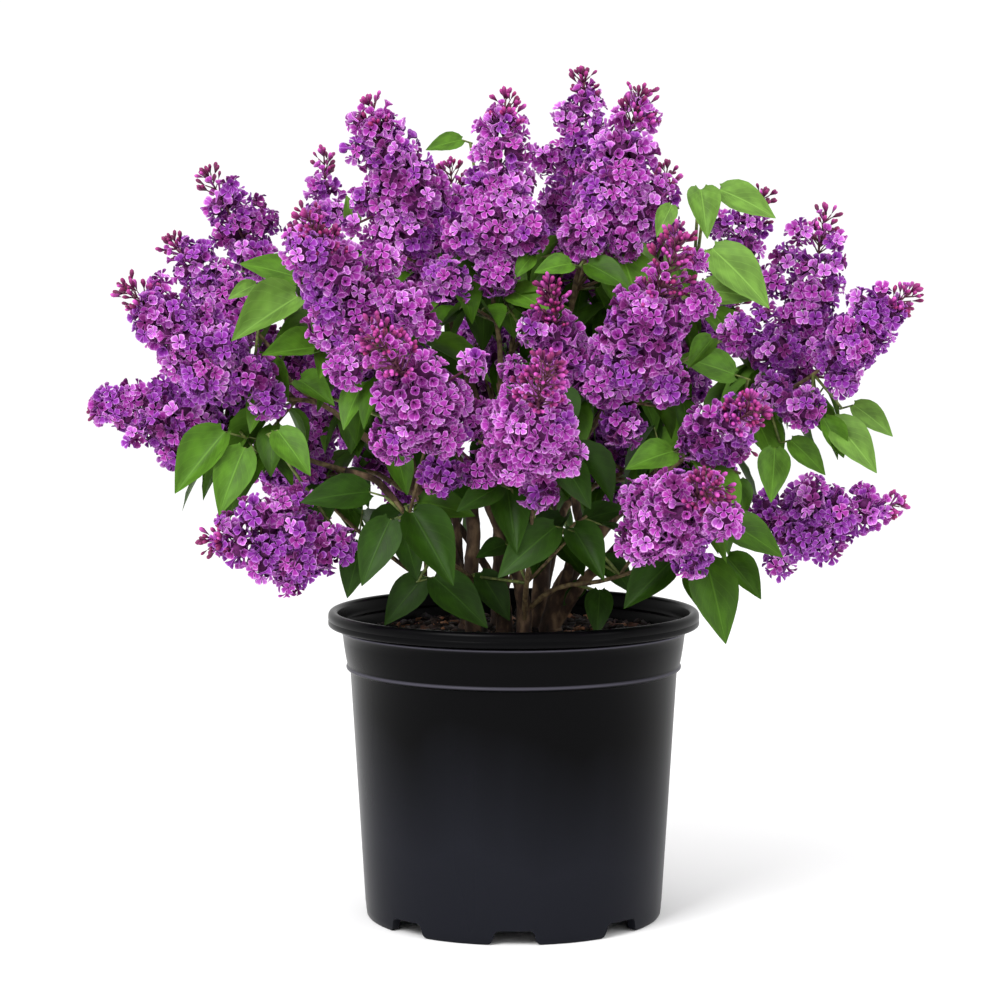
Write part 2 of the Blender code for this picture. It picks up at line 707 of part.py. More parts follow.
def build_mass(name, grown, panicles, others, finishes, parts):
    """Fuses the twigs and panicles with every shoot and leaf that stays clear of the other pieces."""
    foliage, blossom = finishes
    twigs, sprays, nodes = grown
    pieces = [(tube(*twig, 3), foliage) for twig in twigs]
    pieces += [(panicle_shape(row), blossom) for row in panicles]
    for row in SHOWING.get(name, []):
        twig, leaf = show_leaf(row, nodes)
        shapes = [tube(*twig, 3), leaf_shape(*leaf)]
        if all(clear_of(shape, others) for shape in shapes):
            pieces += [(shape, foliage) for shape in shapes]
    for shoot, leaves in sprays:
        if shoot:
            stalk = tube(*shoot, 3)
            if not clear_of(stalk, others):
                continue
            pieces.append((stalk, foliage))
        for root, petiole, side, hang, length in leaves:
            sizes = (leaf_shape(root, petiole, side, hang, length * share) for share in LEAF_SIZES)
            shape = next((made for made in sizes if clear_of(made, others)), None)
            if shape:
                pieces.append((shape, foliage))
    return union(pieces, f"foliage_{name}", parts)


def grow_mass(name, number, stems):
    """The twigs, sprays and nodes of a mass, from its limb's tip or, low down, from a stem's side."""
    rng = random.Random(SEED + 1 + number)
    if name in SKIRTS:
        stem, share = SKIRT_STEMS[name]
        start, along, _ = stems[stem].at(share)
        tip = place(*SKIRTS[name])
        way = ((tip - start).normalized() + along * 0.3).normalized()
        return grow(start, way, [(tip, way)], SKIRT_SHOOTS, rng)
    spot, way = joint(name)
    ends = []
    for row in PANICLES[name]:
        axis = panicle_axis(row)
        ends.append((panicle_foot(row) + axis * PANICLE_SINK, axis))
    return grow(spot + way * GAP, way, ends, SHOOTS, rng)


def main():
    for obj in list(bpy.data.objects):
        bpy.data.objects.remove(obj)
    parts = collection("lilac_bush")
    cutters = collection("cutters")
    plastic = material("black plastic", (0.014, 0.015, 0.019), 0.42)
    mix = material("potting mix", (0.045, 0.026, 0.018), 0.95)
    bark = material("bark", (0.060, 0.036, 0.026), 0.85)
    foliage = material("leaf green", (0.055, 0.160, 0.030), 0.50)
    blossom = material("lilac blossom", (0.300, 0.060, 0.360), 0.60)

    twig_section(cutters)
    build_pot(plastic, parts, cutters)
    build_potting_mix(mix, parts)
    stems, fat = build_limbs(bark, parts, cutters)
    bpy.context.view_layer.update()

    masses = list(SKIRTS) + list(PANICLES)
    grown = {name: grow_mass(name, number, stems) for number, name in enumerate(masses)}
    solid = [object_tree(obj) for obj in parts.objects]
    frames = {}
    for name, (twigs, _, _) in grown.items():
        frames[name] = [tree_of(tube(*twig, 3)) for twig in twigs]
        frames[name] += [tree_of(panicle_shape(row)) for row in PANICLES.get(name, [])]
    for name in masses:
        others = solid + sum((trees for other, trees in frames.items() if other != name), [])
        mass = build_mass(name, grown[name], PANICLES.get(name, []), others, (foliage, blossom), parts)
        if name in SKIRTS:
            cut(mass, fat[SKIRT_STEMS[name][0]], "seat", "MANIFOLD")
        bpy.context.view_layer.update()
        solid.append(object_tree(mass))


main()
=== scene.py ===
# %% [markdown]
# # A lilac bush in full flower, in its nursery pot
#
# The real thing is a young lilac, sold in a black plastic pot: seven woody stems, boughs that fan out
# from them, pairs of heart-shaped leaves, and at the end of every twig a panicle, which is a cone of a
# hundred or more four-petalled florets with closed buds at its tip. This lesson dresses the plain solids
# of the frame: it grows the same bush by the same rule, only finer, and gives each surface its finish.
#
# We start with the frame. Loading it gives every solid as an object, and the box that the bush may fill.

import math
import random
from collections import namedtuple

import bmesh
import bpy
import numpy as np
from mathutils import Matrix, Vector


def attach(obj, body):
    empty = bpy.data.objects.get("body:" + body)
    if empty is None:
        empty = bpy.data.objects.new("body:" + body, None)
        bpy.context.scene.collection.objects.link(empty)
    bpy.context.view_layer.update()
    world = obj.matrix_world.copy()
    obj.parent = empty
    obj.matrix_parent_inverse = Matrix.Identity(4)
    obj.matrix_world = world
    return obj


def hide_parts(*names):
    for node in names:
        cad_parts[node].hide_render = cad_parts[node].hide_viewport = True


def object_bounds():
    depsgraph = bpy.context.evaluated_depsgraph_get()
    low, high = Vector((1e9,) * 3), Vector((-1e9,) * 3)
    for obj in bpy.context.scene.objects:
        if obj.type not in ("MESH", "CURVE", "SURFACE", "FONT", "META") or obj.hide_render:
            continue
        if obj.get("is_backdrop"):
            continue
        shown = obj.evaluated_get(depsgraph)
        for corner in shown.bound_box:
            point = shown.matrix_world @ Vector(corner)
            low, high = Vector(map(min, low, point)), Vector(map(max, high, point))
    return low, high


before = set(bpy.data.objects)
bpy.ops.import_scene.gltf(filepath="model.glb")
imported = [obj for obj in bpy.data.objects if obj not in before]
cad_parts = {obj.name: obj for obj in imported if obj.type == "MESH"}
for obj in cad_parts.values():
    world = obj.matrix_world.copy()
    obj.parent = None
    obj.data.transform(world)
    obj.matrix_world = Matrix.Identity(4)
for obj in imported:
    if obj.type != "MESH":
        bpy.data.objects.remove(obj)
cad_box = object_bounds()
print("frame:", len(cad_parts), "solids, from", list(cad_box[0]), "to", list(cad_box[1]))

# %% [markdown]
# ## The camera
#
# A lens is chosen by how far away it stood. The rim of the pot shows as a flat ellipse, so the camera
# looked down by only about five degrees, and the sides of the pot hardly converge, so it stood a good two
# metres off with a long lens. We could slide the lens sideways to frame the bush, but turning nothing and
# standing almost in front of it gives the same picture with simpler numbers.

# %% Camera
CAMERA_PLACE = (-0.0103, -2.2, 0.505)
CAMERA_TILT = math.radians(4.95)
CAMERA_LENS = 105.6

bpy.ops.object.camera_add(location=CAMERA_PLACE, rotation=(math.pi / 2 - CAMERA_TILT, 0, 0))
camera = bpy.context.object
camera.data.lens = CAMERA_LENS
bpy.context.scene.camera = camera
print("camera:", CAMERA_LENS, "mm lens at", CAMERA_PLACE)

# %% [markdown]
# ## Light and floor
#
# A plant photographed for a catalogue stands in soft white light from all around, with one large window
# or softbox a little stronger, so that petals and leaves still get a bright side. Many small lamps would
# do it, but a white world does the same with no setting up. Two big area lamps then add the direction.

# %% Light and floor
FLOOR_SIZE = 12
WORLD_STRENGTH = 1.06
Lamp = namedtuple("Lamp", "name place size power")
LAMPS = [
    Lamp("key", (-1.6, -2.2, 2.6), 1.6, 95),
    Lamp("fill", (2.2, -1.2, 1.8), 1.4, 20),
]
LAMP_AIM = Vector((0, 0, 0.35))


def deselect():
    """Nothing selected, so that the next operator acts on the new piece alone."""
    if bpy.context.mode != "OBJECT":
        bpy.ops.object.mode_set(mode="OBJECT")
    for obj in bpy.context.selected_objects:
        obj.select_set(False)


def finish_of(name, colour, roughness, specular=0.5):
    """A new material with its Principled shader: (material, its nodes and links, shader)."""
    made = bpy.data.materials.new(name)
    made.use_nodes = True
    made.diffuse_color = colour
    shader = made.node_tree.nodes["Principled BSDF"]
    shader.inputs["Base Color"].default_value = colour
    shader.inputs["Roughness"].default_value = roughness
    shader.inputs["Specular IOR Level"].default_value = specular
    return made, made.node_tree, shader


def tone(red, green, blue):
    """A colour as it looks on screen, 0 to 255, in the linear values that a shader takes."""
    shares = (value / 255 for value in (red, green, blue))
    linear = (share / 12.92 if share < 0.04045 else ((share + 0.055) / 1.055) ** 2.4 for share in shares)
    return (*linear, 1)


world = bpy.data.worlds.new("studio")
world.use_nodes = True
world.node_tree.nodes["Background"].inputs["Color"].default_value = (1, 1, 1, 1)
world.node_tree.nodes["Background"].inputs["Strength"].default_value = WORLD_STRENGTH
bpy.context.scene.world = world
bpy.context.scene.view_settings.view_transform = "Standard"

for lamp in LAMPS:
    aim = (LAMP_AIM - Vector(lamp.place)).to_track_quat("-Z", "Y").to_euler()
    bpy.ops.object.light_add(type="AREA", location=lamp.place, rotation=aim)
    light = bpy.context.object.data
    light.size = lamp.size
    light.energy = lamp.power

deselect()
bpy.ops.mesh.primitive_plane_add(size=FLOOR_SIZE)
floor = bpy.context.object
floor.name = "floor"
floor.data.materials.append(finish_of("pale floor", (0.95, 0.95, 0.95, 1), 0.9, 0.0)[0])
floor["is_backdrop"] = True
print("light:", len(LAMPS), "lamps and a white world")

# %% [markdown]
# ## Helpers for modelling
#
# In edit mode every operator works on what is selected. A person clicks points; a script picks them by
# their place. So one helper selects the points that pass a test, others select a whole mesh or turn its
# faces outwards, and the last one puts a finished piece on the plant's body and hides the frame's solids
# that it stands for.

# %% Helpers for modelling


def pick(obj, wanted):
    """In edit mode: selects the points whose place passes the test, with the edges and faces between."""
    bm = bmesh.from_edit_mesh(obj.data)
    for parts in (bm.verts, bm.edges, bm.faces):
        for part in parts:
            part.select = False
    for vert in bm.verts:
        vert.select = bool(wanted(vert.co))
    bm.select_flush(True)
    bmesh.update_edit_mesh(obj.data)


def edit_all():
    """Into edit mode, with the whole mesh selected."""
    bpy.ops.object.mode_set(mode="EDIT")
    bpy.ops.mesh.select_all(action="SELECT")


def face_outwards():
    """Turns every face of the mesh in edit mode outwards, and leaves edit mode."""
    bpy.ops.mesh.select_all(action="SELECT")
    bpy.ops.mesh.normals_make_consistent(inside=False)
    bpy.ops.object.mode_set(mode="OBJECT")


def choose(*objects):
    """Selects these objects alone and makes the first one active."""
    deselect()
    for obj in objects:
        obj.select_set(True)
    bpy.context.view_layer.objects.active = objects[0]


def apply_modifiers(obj):
    choose(obj)
    for modifier in list(obj.modifiers):
        bpy.ops.object.modifier_apply(modifier=modifier.name)


def ready(obj, slot, *nodes):
    """The finished piece rides on the plant's one body and may stand for solids of the frame."""
    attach(obj, "root")
    if nodes:
        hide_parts(*nodes)
    print(obj.name + ":", len(obj.data.polygons), "faces")
    return obj


print("bench:", len(bpy.data.meshes), "meshes in the scene so far")

# %% [markdown]
# ## The pot
#
# A nursery pot is blown from thin black plastic: a rolled rim, a band that bellies out a little, a ledge
# where pots rest in each other when stacked, a tapering body, and a foot ring with notches for drainage.
# It could be spun from a profile with a Screw modifier. Here it goes up ring by ring, as on a lathe: a
# circle is extruded and resized once for each point of the profile.

# %% The pot's profile
POT_HEIGHT = 0.232
RIM_RADIUS = 0.140
RIM_DEPTH = 0.012
BAND_RADIUS = 0.130
LEDGE_RADIUS = 0.1245
LEDGE_HEIGHT = 0.189
LEDGE_STEP = 0.001
FOOT_RADIUS = 0.112
WALL = 0.002
PLATE = 0.0025
CHANNEL_HEIGHT = 0.0115
PAD_RADIUS = 0.055
SOIL_HEIGHT = 0.210
POT_SIDES = 144
END_RADIUS = 0.012  # the little flat rings that close the profile's two ends
INSIDE_HEIGHTS = (0.06, 0.12, LEDGE_HEIGHT - 0.003, LEDGE_HEIGHT + 0.004, 0.206, 0.216)
BAND_HEIGHTS = (0.2140, 0.209, 0.203, 0.197, 0.193)
BODY_HEIGHTS = (0.185, 0.16, 0.12, 0.08, 0.04, 0.006)
LIP_MIDDLE = (0.1362, 0.2283)
LIP_ROLL = 0.0037
RIM_EDGE = 0.0018  # how far the rim's lower edge is rounded
TUCK = 0.0010  # radius of the crease where the rim meets the band
LEDGE_ROLL = 0.0014


def wall_radius(height):
    """Outer radius of the pot's wall below the rim."""
    if height > LEDGE_HEIGHT:
        rise = (height - LEDGE_HEIGHT) / (POT_HEIGHT - RIM_DEPTH - LEDGE_HEIGHT)
        return LEDGE_RADIUS + (BAND_RADIUS - LEDGE_RADIUS) * rise**0.6
    return FOOT_RADIUS + (LEDGE_RADIUS - LEDGE_STEP - FOOT_RADIUS) * height / LEDGE_HEIGHT


def arc(middle, radius, first, last, count):
    """Points of a circle's arc in the profile, between two angles in degrees."""
    angles = [math.radians(first + (last - first) * index / (count - 1)) for index in range(count)]
    return [(middle[0] + radius * math.cos(a), middle[1] + radius * math.sin(a)) for a in angles]


def inside_profile():
    """(radius, height) from the middle of the inside, over the channel and the pad, up to the lip."""
    floor = [(END_RADIUS, PLATE), (PAD_RADIUS - PLATE, PLATE), (PAD_RADIUS, CHANNEL_HEIGHT + PLATE)]
    heights = (CHANNEL_HEIGHT + PLATE, *INSIDE_HEIGHTS)
    wall = [(wall_radius(height) - WALL, height) for height in heights]
    neck = [(BAND_RADIUS - WALL + 0.0006, 0.2192), (BAND_RADIUS + 0.0016, 0.2206)]
    return floor + wall + neck + [(BAND_RADIUS + 0.0024, 0.2230)]


def rim_profile():
    """Over the rolled lip, down the rim's face and in to the band below it."""
    rim_foot = POT_HEIGHT - RIM_DEPTH
    lip = arc(LIP_MIDDLE, LIP_ROLL, 165, 0, 9)
    face = [(RIM_RADIUS, 0.2262), (RIM_RADIUS - 0.0005, 0.2252), (RIM_RADIUS - 0.0001, 0.2241)]
    edge = arc((RIM_RADIUS - RIM_EDGE, 0.2222), RIM_EDGE, 10, -90, 5)
    under = [(BAND_RADIUS + 0.0030, rim_foot + 0.0002), (BAND_RADIUS + 0.0002, rim_foot - 0.0006)]
    under += [(BAND_RADIUS - 0.0004, rim_foot - 0.0014)]
    return lip + face + edge + under + arc((BAND_RADIUS + 0.0002, rim_foot - 0.0027), TUCK, 100, -60, 5)


def outside_profile():
    """Down the band, the stacking ledge, the body and the foot to the middle underneath."""
    band = [(wall_radius(height) - 0.0002, height) for height in BAND_HEIGHTS]
    ledge = [(0.1254, 0.1910)] + arc((0.1251, 0.1893), LEDGE_ROLL, 75, -60, 6) + [(0.1240, 0.1872)]
    body = [(wall_radius(height), height) for height in BODY_HEIGHTS]
    foot = [(FOOT_RADIUS - 0.0002, 0.0018), (FOOT_RADIUS - 0.0010, 0.0004), (FOOT_RADIUS - 0.0020, 0)]
    foot += [(FOOT_RADIUS - 0.0055, 0), (FOOT_RADIUS - 0.0070, 0.0012)]
    channel = [(FOOT_RADIUS - 0.0075, CHANNEL_HEIGHT), (PAD_RADIUS + 0.003, CHANNEL_HEIGHT)]
    pad = [(PAD_RADIUS, 0.0005), (PAD_RADIUS - 0.001, 0), (END_RADIUS, 0)]
    return band + ledge + body + foot + channel + pad


pot_profile = inside_profile() + rim_profile() + outside_profile()
print("pot profile:", len(pot_profile), "rings")

# %% Turn the pot


def turned(name, profile, sides):
    """A ring for each (radius, height) of the profile, closed with a flat face at both ends."""
    deselect()
    radius, height = profile[0]
    bpy.ops.mesh.primitive_circle_add(
        vertices=sides, radius=radius, fill_type="NGON", location=(0, 0, height)
    )
    obj = bpy.context.object
    obj.name = name
    bpy.ops.object.transform_apply()
    edit_all()
    bpy.ops.mesh.select_mode(type="EDGE")
    bpy.ops.mesh.region_to_loop()
    for (radius, height), (next_radius, next_height) in zip(profile, profile[1:]):
        bpy.ops.mesh.extrude_edges_move(TRANSFORM_OT_translate={"value": (0, 0, next_height - height)})
        share = next_radius / radius
        bpy.ops.transform.resize(value=(share, share, 1), center_override=(0, 0, next_height))
    bpy.ops.mesh.edge_face_add()
    face_outwards()
    return obj


pot = turned("nursery_pot", pot_profile, POT_SIDES)
print("pot:", len(pot.data.polygons), "faces before the notches are cut")

# %% [markdown]
# ## Notches and drain holes
#
# Water leaves the pot through holes in the raised ring of its bottom and out through notches in the foot.
# Cutting them one after another would be slow, so one notch block is modelled, its upper corners are
# beveled, and eight turned copies of it and of a drill are joined to a single cutter for one Boolean.

# %% Cut the notches and the drain holes
FEET = 8
NOTCH_WIDTH = 0.0315
NOTCH_TOP_WIDTH = 0.0295
NOTCH_HEIGHT = 0.0107
NOTCH_CORNER = 0.004
NOTCH_DEPTH = 0.030
NOTCH_FLARE = [  # height, width
    (0.0045, 0.0315), (0.0030, 0.0322), (0.0018, 0.0336), (0.0009, 0.0358), (0.0002, 0.0388),
    (-0.0020, 0.0400),
]
DRAIN_RADIUS = 0.007
DRILL_LENGTH = 0.02
SMOOTH_BELOW = math.radians(38)  # edges that turn by more stay sharp


def notch_block():
    deselect()
    bpy.ops.mesh.primitive_cube_add(size=1, scale=(NOTCH_DEPTH, NOTCH_WIDTH, 2 * NOTCH_HEIGHT))
    block = bpy.context.object
    bpy.ops.object.transform_apply()
    bpy.ops.object.mode_set(mode="EDIT")
    pick(block, lambda spot: spot.z > 0)
    bpy.ops.transform.resize(value=(1, NOTCH_TOP_WIDTH / NOTCH_WIDTH, 1), center_override=(0, 0, 0))
    bm = bmesh.from_edit_mesh(block.data)
    for face in bm.faces:
        face.select = False
    for edge in bm.edges:
        outward = abs(edge.verts[0].co.y - edge.verts[1].co.y) < 1e-6
        edge.select = outward and all(vert.co.z > 0 for vert in edge.verts)
    bm.select_flush_mode()
    bmesh.update_edit_mesh(block.data)
    bpy.ops.mesh.bevel(offset=NOTCH_CORNER, segments=5, affect="EDGES")
    pick(block, lambda spot: spot.z < 0)
    bpy.ops.transform.translate(value=(0, 0, NOTCH_HEIGHT + NOTCH_FLARE[0][0]))
    for (height, width), (next_height, next_width) in zip(NOTCH_FLARE, NOTCH_FLARE[1:]):
        bpy.ops.mesh.extrude_region_move(TRANSFORM_OT_translate={"value": (0, 0, next_height - height)})
        bpy.ops.transform.resize(value=(1, next_width / width, 1), center_override=(0, 0, next_height))
    bpy.ops.object.mode_set(mode="OBJECT")
    block.data.transform(Matrix.Translation((FOOT_RADIUS - 0.002, 0, 0)))
    return block


def drill():
    deselect()
    between = (PAD_RADIUS + FOOT_RADIUS) / 2
    bpy.ops.mesh.primitive_cylinder_add(vertices=24, radius=DRAIN_RADIUS, depth=DRILL_LENGTH)
    bit = bpy.context.object
    bit.data.transform(Matrix.Translation((between, 0, CHANNEL_HEIGHT)))
    return bit


def ring_of(obj, count, first):
    """The object and copies of it turned round the Z axis, each with its own mesh."""
    ring = [obj]
    for _ in range(count - 1):
        ring.append(obj.copy())
        ring[-1].data = obj.data.copy()
        bpy.context.scene.collection.objects.link(ring[-1])
    for index, piece in enumerate(ring):
        piece.data.transform(Matrix.Rotation(math.radians(first + 360 / count * index), 4, "Z"))
    return ring


cutters = ring_of(notch_block(), FEET, -90) + ring_of(drill(), FEET, -90 + 180 / FEET)
choose(*cutters)
bpy.ops.object.join()
cutter = bpy.context.object
cut = pot.modifiers.new("cut", "BOOLEAN")
cut.operation = "DIFFERENCE"
cut.object = cutter
apply_modifiers(pot)
bpy.data.objects.remove(cutter)
choose(pot)
bpy.ops.object.shade_smooth_by_angle(angle=SMOOTH_BELOW)
print("pot:", len(pot.data.polygons), "faces with", FEET, "notches and drain holes")

# %% [markdown]
# ## Black plastic
#
# Blown black plastic is almost a plain colour, yet it never looks flat: its skin has a fine orange peel,
# its gloss comes and goes in soft upright clouds, its lower half is greyed by a painted reflection of
# the floor, and the two thin beads carry painted highlights. A ramp up the pot's height paints the
# reflection and the highlights, and two noises do the rest, one stretched upright for the clouds and
# one fine for the bump.

# %% Helpers for finishes


def node(tree, kind, inputs=(), **settings):
    """A new shader node. An input is a value or another node's output socket."""
    made = tree.nodes.new("ShaderNode" + kind)
    for key, value in settings.items():
        setattr(made, key, value)
    for key, value in dict(inputs).items():
        if isinstance(value, bpy.types.NodeSocket):
            tree.links.new(value, made.inputs[key])
        else:
            made.inputs[key].default_value = value
    return made


def place_node(tree, scale=(1, 1, 1)):
    """Object coordinates, stretched."""
    on_object = node(tree, "TexCoord").outputs["Object"]
    return node(tree, "Mapping", {"Vector": on_object, "Scale": scale}).outputs[0]


def noise(tree, place, scale, detail, roughness=0.5):
    """Soft random spots, from 0 to 1."""
    inputs = {"Vector": place, "Scale": scale, "Detail": detail, "Roughness": roughness}
    return node(tree, "TexNoise", inputs).outputs["Fac"]


def sum_of(tree, operation, *values):
    """What a Math node makes of these values."""
    return node(tree, "Math", dict(enumerate(values)), operation=operation).outputs[0]


def mixed(tree, share, first, second, way="MIX"):
    """Two colours mixed, with this share of the second."""
    inputs = {0: share, 6: first, 7: second}
    return node(tree, "Mix", inputs, data_type="RGBA", blend_type=way).outputs[2]


def ramp(tree, value, *stops):
    """A colour ramp with (position, colour) stops."""
    made = node(tree, "ValToRGB", {"Fac": value})
    line = made.color_ramp
    line.elements[0].position, line.elements[0].color = stops[0]
    line.elements[1].position, line.elements[1].color = stops[-1]
    for position, colour in stops[1:-1]:
        line.elements.new(position).color = colour
    return made.outputs["Color"]


def grey(level):
    return (level, level, level, 1)


def shaded(colour, share, lift=0):
    """A colour as on screen made darker or lighter, in the values that a shader takes."""
    return tone(*(min(255, value * share + lift) for value in colour))


def bump(tree, shader, height, strength, distance):
    made = node(tree, "Bump", {"Height": height, "Strength": strength, "Distance": distance})
    tree.links.new(made.outputs["Normal"], shader.inputs["Normal"])


print("finishes:", len(bpy.data.materials), "material so far, the floor's")

# %% Black plastic finish
PLASTIC = tone(3, 3, 4)
# Painted reflection of the pale floor, greying the pot's lower half
PLASTIC_PAINTED_REFLECTION = tone(24, 25, 31)
# Painted highlight along the two thin beads
PLASTIC_PAINTED_HIGHLIGHT = tone(96, 94, 106)
PLASTIC_CLOUDS = (9, 9, 2.4)  # clouds to a metre, longer upright
CLOUD_SHARE = 0.5  # how much the clouds shift the painted reflection's edge
PAINTED_REFLECTION_ENDS = (0.5, 0.92)
BEADS = (0.8185, 0.9370)  # how far up the pot its two thin beads run, with their painted highlights
BEAD_WIDTH = 0.0036
PEEL_SCALE = 420.0

plastic, tree, shader = finish_of("black plastic", PLASTIC, 0.3, 0.05)
place_on_pot = place_node(tree, (1, 1, 1 / POT_HEIGHT))
rise = node(tree, "SeparateXYZ", {"Vector": place_on_pot}).outputs["Z"]
clouds = noise(tree, place_node(tree, PLASTIC_CLOUDS), 1.0, 3.0)
clouded = sum_of(tree, "MULTIPLY_ADD", clouds, CLOUD_SHARE, rise)
# Painted reflection: black at the top, grey towards the foot, its edge shifted by the clouds
painted_reflection = ramp(tree, clouded, (PAINTED_REFLECTION_ENDS[0], PLASTIC_PAINTED_REFLECTION), (PAINTED_REFLECTION_ENDS[1], PLASTIC))
stops = [(0.0, grey(0)), (1.0, grey(0))]
for bead in BEADS:
    stops[-1:-1] = [(bead - BEAD_WIDTH, grey(0)), (bead, grey(1)), (bead + BEAD_WIDTH, grey(0))]
from_axis = place_node(tree, (1, 1, 0))
facing = node(tree, "NewGeometry").outputs["Normal"]
outward = node(tree, "VectorMath", {0: from_axis, 1: facing}, operation="DOT_PRODUCT").outputs["Value"]
outside = sum_of(tree, "GREATER_THAN", outward, 0.0)
# Painted highlight: a thin pale line along each bead, on the outer side only
painted_highlight_on_beads = sum_of(tree, "MULTIPLY", ramp(tree, rise, *stops), outside)
tree.links.new(mixed(tree, painted_highlight_on_beads, painted_reflection, PLASTIC_PAINTED_HIGHLIGHT), shader.inputs["Base Color"])
gloss = ramp(tree, clouds, (0.3, grey(0.25)), (0.7, grey(0.36)))
tree.links.new(gloss, shader.inputs["Roughness"])
bump(tree, shader, noise(tree, place_node(tree), PEEL_SCALE, 2.0), 0.06, 0.0003)
pot.data.materials.clear()
pot.data.materials.append(plastic)
ready(pot, "pot", "pot")

# %% [markdown]
# ## Potting mix
#
# The mix is composted bark: dark crumbs with reddish chips lying in it. One way is a bumpy disc with a
# picture of soil, but a picture goes flat near the rim. Instead the disc gets its lumps from a Displace
# modifier, and eleven hundred real chips are strewn over it, all copies of three that are modelled once.

# %% The bumpy bed of the mix
BED_RADIUS = 0.1262
BED_LUMP = 0.010
BED_HEIGHT = 0.0045
BED_THICKNESS = 0.006
BED_CUTS = 14

deselect()
bpy.ops.mesh.primitive_circle_add(vertices=48, radius=BED_RADIUS, fill_type="TRIFAN", location=(0, 0, 0))
bed = bpy.context.object
bed.name = "mix_surface"
edit_all()
bpy.ops.mesh.subdivide(number_cuts=BED_CUTS)
bpy.ops.object.mode_set(mode="OBJECT")
bed.data.transform(Matrix.Translation((0, 0, SOIL_HEIGHT)))
lumps = bpy.data.textures.new("lumps", "CLOUDS")
lumps.noise_scale = BED_LUMP
swell = bed.modifiers.new("lumps", "DISPLACE")
swell.texture = lumps
swell.texture_coords = "LOCAL"
swell.direction = "Z"
swell.mid_level = 0.35
swell.strength = BED_HEIGHT
apply_modifiers(bed)
edit_all()
bpy.ops.mesh.extrude_region_move(TRANSFORM_OT_translate={"value": (0, 0, -BED_THICKNESS)})
face_outwards()
print("bed:", len(bed.data.polygons), "faces")

# %% Finish of the mix
MIX_DARK = tone(22, 16, 13)
MIX_LIGHT = tone(66, 46, 35)
MIX_SCALE = 130.0


def crumbly(name, dark, light, scale):
    """Crumbs of two colours with a coarse grain."""
    made, tree, shader = finish_of(name, dark, 0.85, 0.35)
    crumbs = noise(tree, place_node(tree), scale, 6.0, 0.7)
    tree.links.new(ramp(tree, crumbs, (0.38, dark), (0.72, light)), shader.inputs["Base Color"])
    bump(tree, shader, crumbs, 0.6, 0.002)
    return made


mix = crumbly("potting mix", MIX_DARK, MIX_LIGHT, MIX_SCALE)
bed.data.materials.append(mix)
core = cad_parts["potting_mix"]
core.data.materials.clear()
core.data.materials.append(mix)
ready(bed, "potting_mix")

# %% [markdown]
# ## Strewing copies
#
# Chips, leaves and florets all come in hundreds. Instances would be light, but they are lost when the
# plant is exported, so the copies are joined into one mesh with arrays: the template's points times each
# copy's matrix, in a single stroke. Each copy gets one of the piece's materials, dealt out by number.
# Every copy of a tint lies on the same tile of a second UV map, so a pattern baked for one of them fits
# them all.

# %% A template, and strewing it
TILE_EDGE = 0.03  # of a tile of the second UV map, the margin left free


def template_of(obj):
    """The object's points, faces and UV map as arrays, and the object removed."""
    mesh = obj.data
    points = np.array([vert.co for vert in mesh.vertices])
    faces = [tuple(face.vertices) for face in mesh.polygons]
    if not mesh.uv_layers:
        mesh.uv_layers.new(name="UVMap")
    uv = np.array([spot.uv for spot in mesh.uv_layers[0].data])
    bpy.data.objects.remove(obj)
    return points, faces, uv


def strewn(name, template, places, kinds, finishes):
    """One mesh of a copy of the template at each matrix, with the finish of each copy's kind."""
    points, faces, uv = template
    count = len(places)
    matrices = np.array([np.array(place) for place in places])
    spots = np.einsum("nij,pj->npi", matrices[:, :3, :3], points) + matrices[:, None, :3, 3]
    sizes = np.array([len(face) for face in faces])
    corners = np.concatenate([np.array(face) for face in faces])
    loops = (corners[None, :] + np.arange(count)[:, None] * len(points)).ravel()
    starts = np.concatenate([[0], np.cumsum(np.tile(sizes, count))[:-1]])
    mesh = bpy.data.meshes.new(name)
    mesh.vertices.add(spots.shape[0] * spots.shape[1])
    mesh.vertices.foreach_set("co", spots.astype(np.float32).ravel())
    mesh.loops.add(len(loops))
    mesh.loops.foreach_set("vertex_index", loops.astype(np.int32))
    mesh.polygons.add(len(starts))
    mesh.polygons.foreach_set("loop_start", starts.astype(np.int32))
    mesh.polygons.foreach_set("material_index", np.repeat(kinds, len(faces)).astype(np.int32))
    mesh.update(calc_edges=True)
    mesh.shade_smooth()
    side = math.ceil(math.sqrt(len(finishes)))
    tiles = np.stack([np.asarray(kinds) % side, np.asarray(kinds) // side], axis=1)
    tiled = (tiles[:, None, :] + TILE_EDGE + (1 - 2 * TILE_EDGE) * uv[None, :, :]) / side
    for layer, values in (("UVMap", np.tile(uv, (count, 1))), ("OFBake", tiled.reshape(-1, 2))):
        mesh.uv_layers.new(name=layer).data.foreach_set("uv", values.astype(np.float32).ravel())
    mesh.uv_layers["UVMap"].active_render = True
    for finish in finishes:
        mesh.materials.append(finish)
    obj = bpy.data.objects.new(name, mesh)
    bpy.context.scene.collection.objects.link(obj)
    return obj


def stand(spot, way, turn, size):
    """A matrix that stands a copy on a spot, its Z axis along way."""
    upright = way.to_track_quat("Z", "Y").to_matrix().to_4x4()
    return Matrix.Translation(spot) @ upright @ Matrix.Rotation(turn, 4, "Z") @ Matrix.Scale(size, 4)


print("strewing: a copy's matrix has", len(stand(Vector(), Vector((0, 0, 1)), 0, 1)), "rows")

# %% Bark chips
CHIPS = 1100
CHIP_LENGTH = 0.010
CHIP_REACH = 0.1195
CHIP_SIZES = (0.35, 1.0)
CHIP_HEIGHTS = (0.0005, 0.0040)  # above the mix
CHIP_TILT = 0.35
CHIP_SHAPES = 3
CHIP_DEAL = (0, 0, 0, 1, 1, 2, 3, 4, 4)  # how often each tone comes
CHIP_SCALE = 90.0
CHIP_TONES = [(24, 17, 14), (38, 26, 20), (62, 38, 27), (104, 72, 50), (17, 13, 12)]


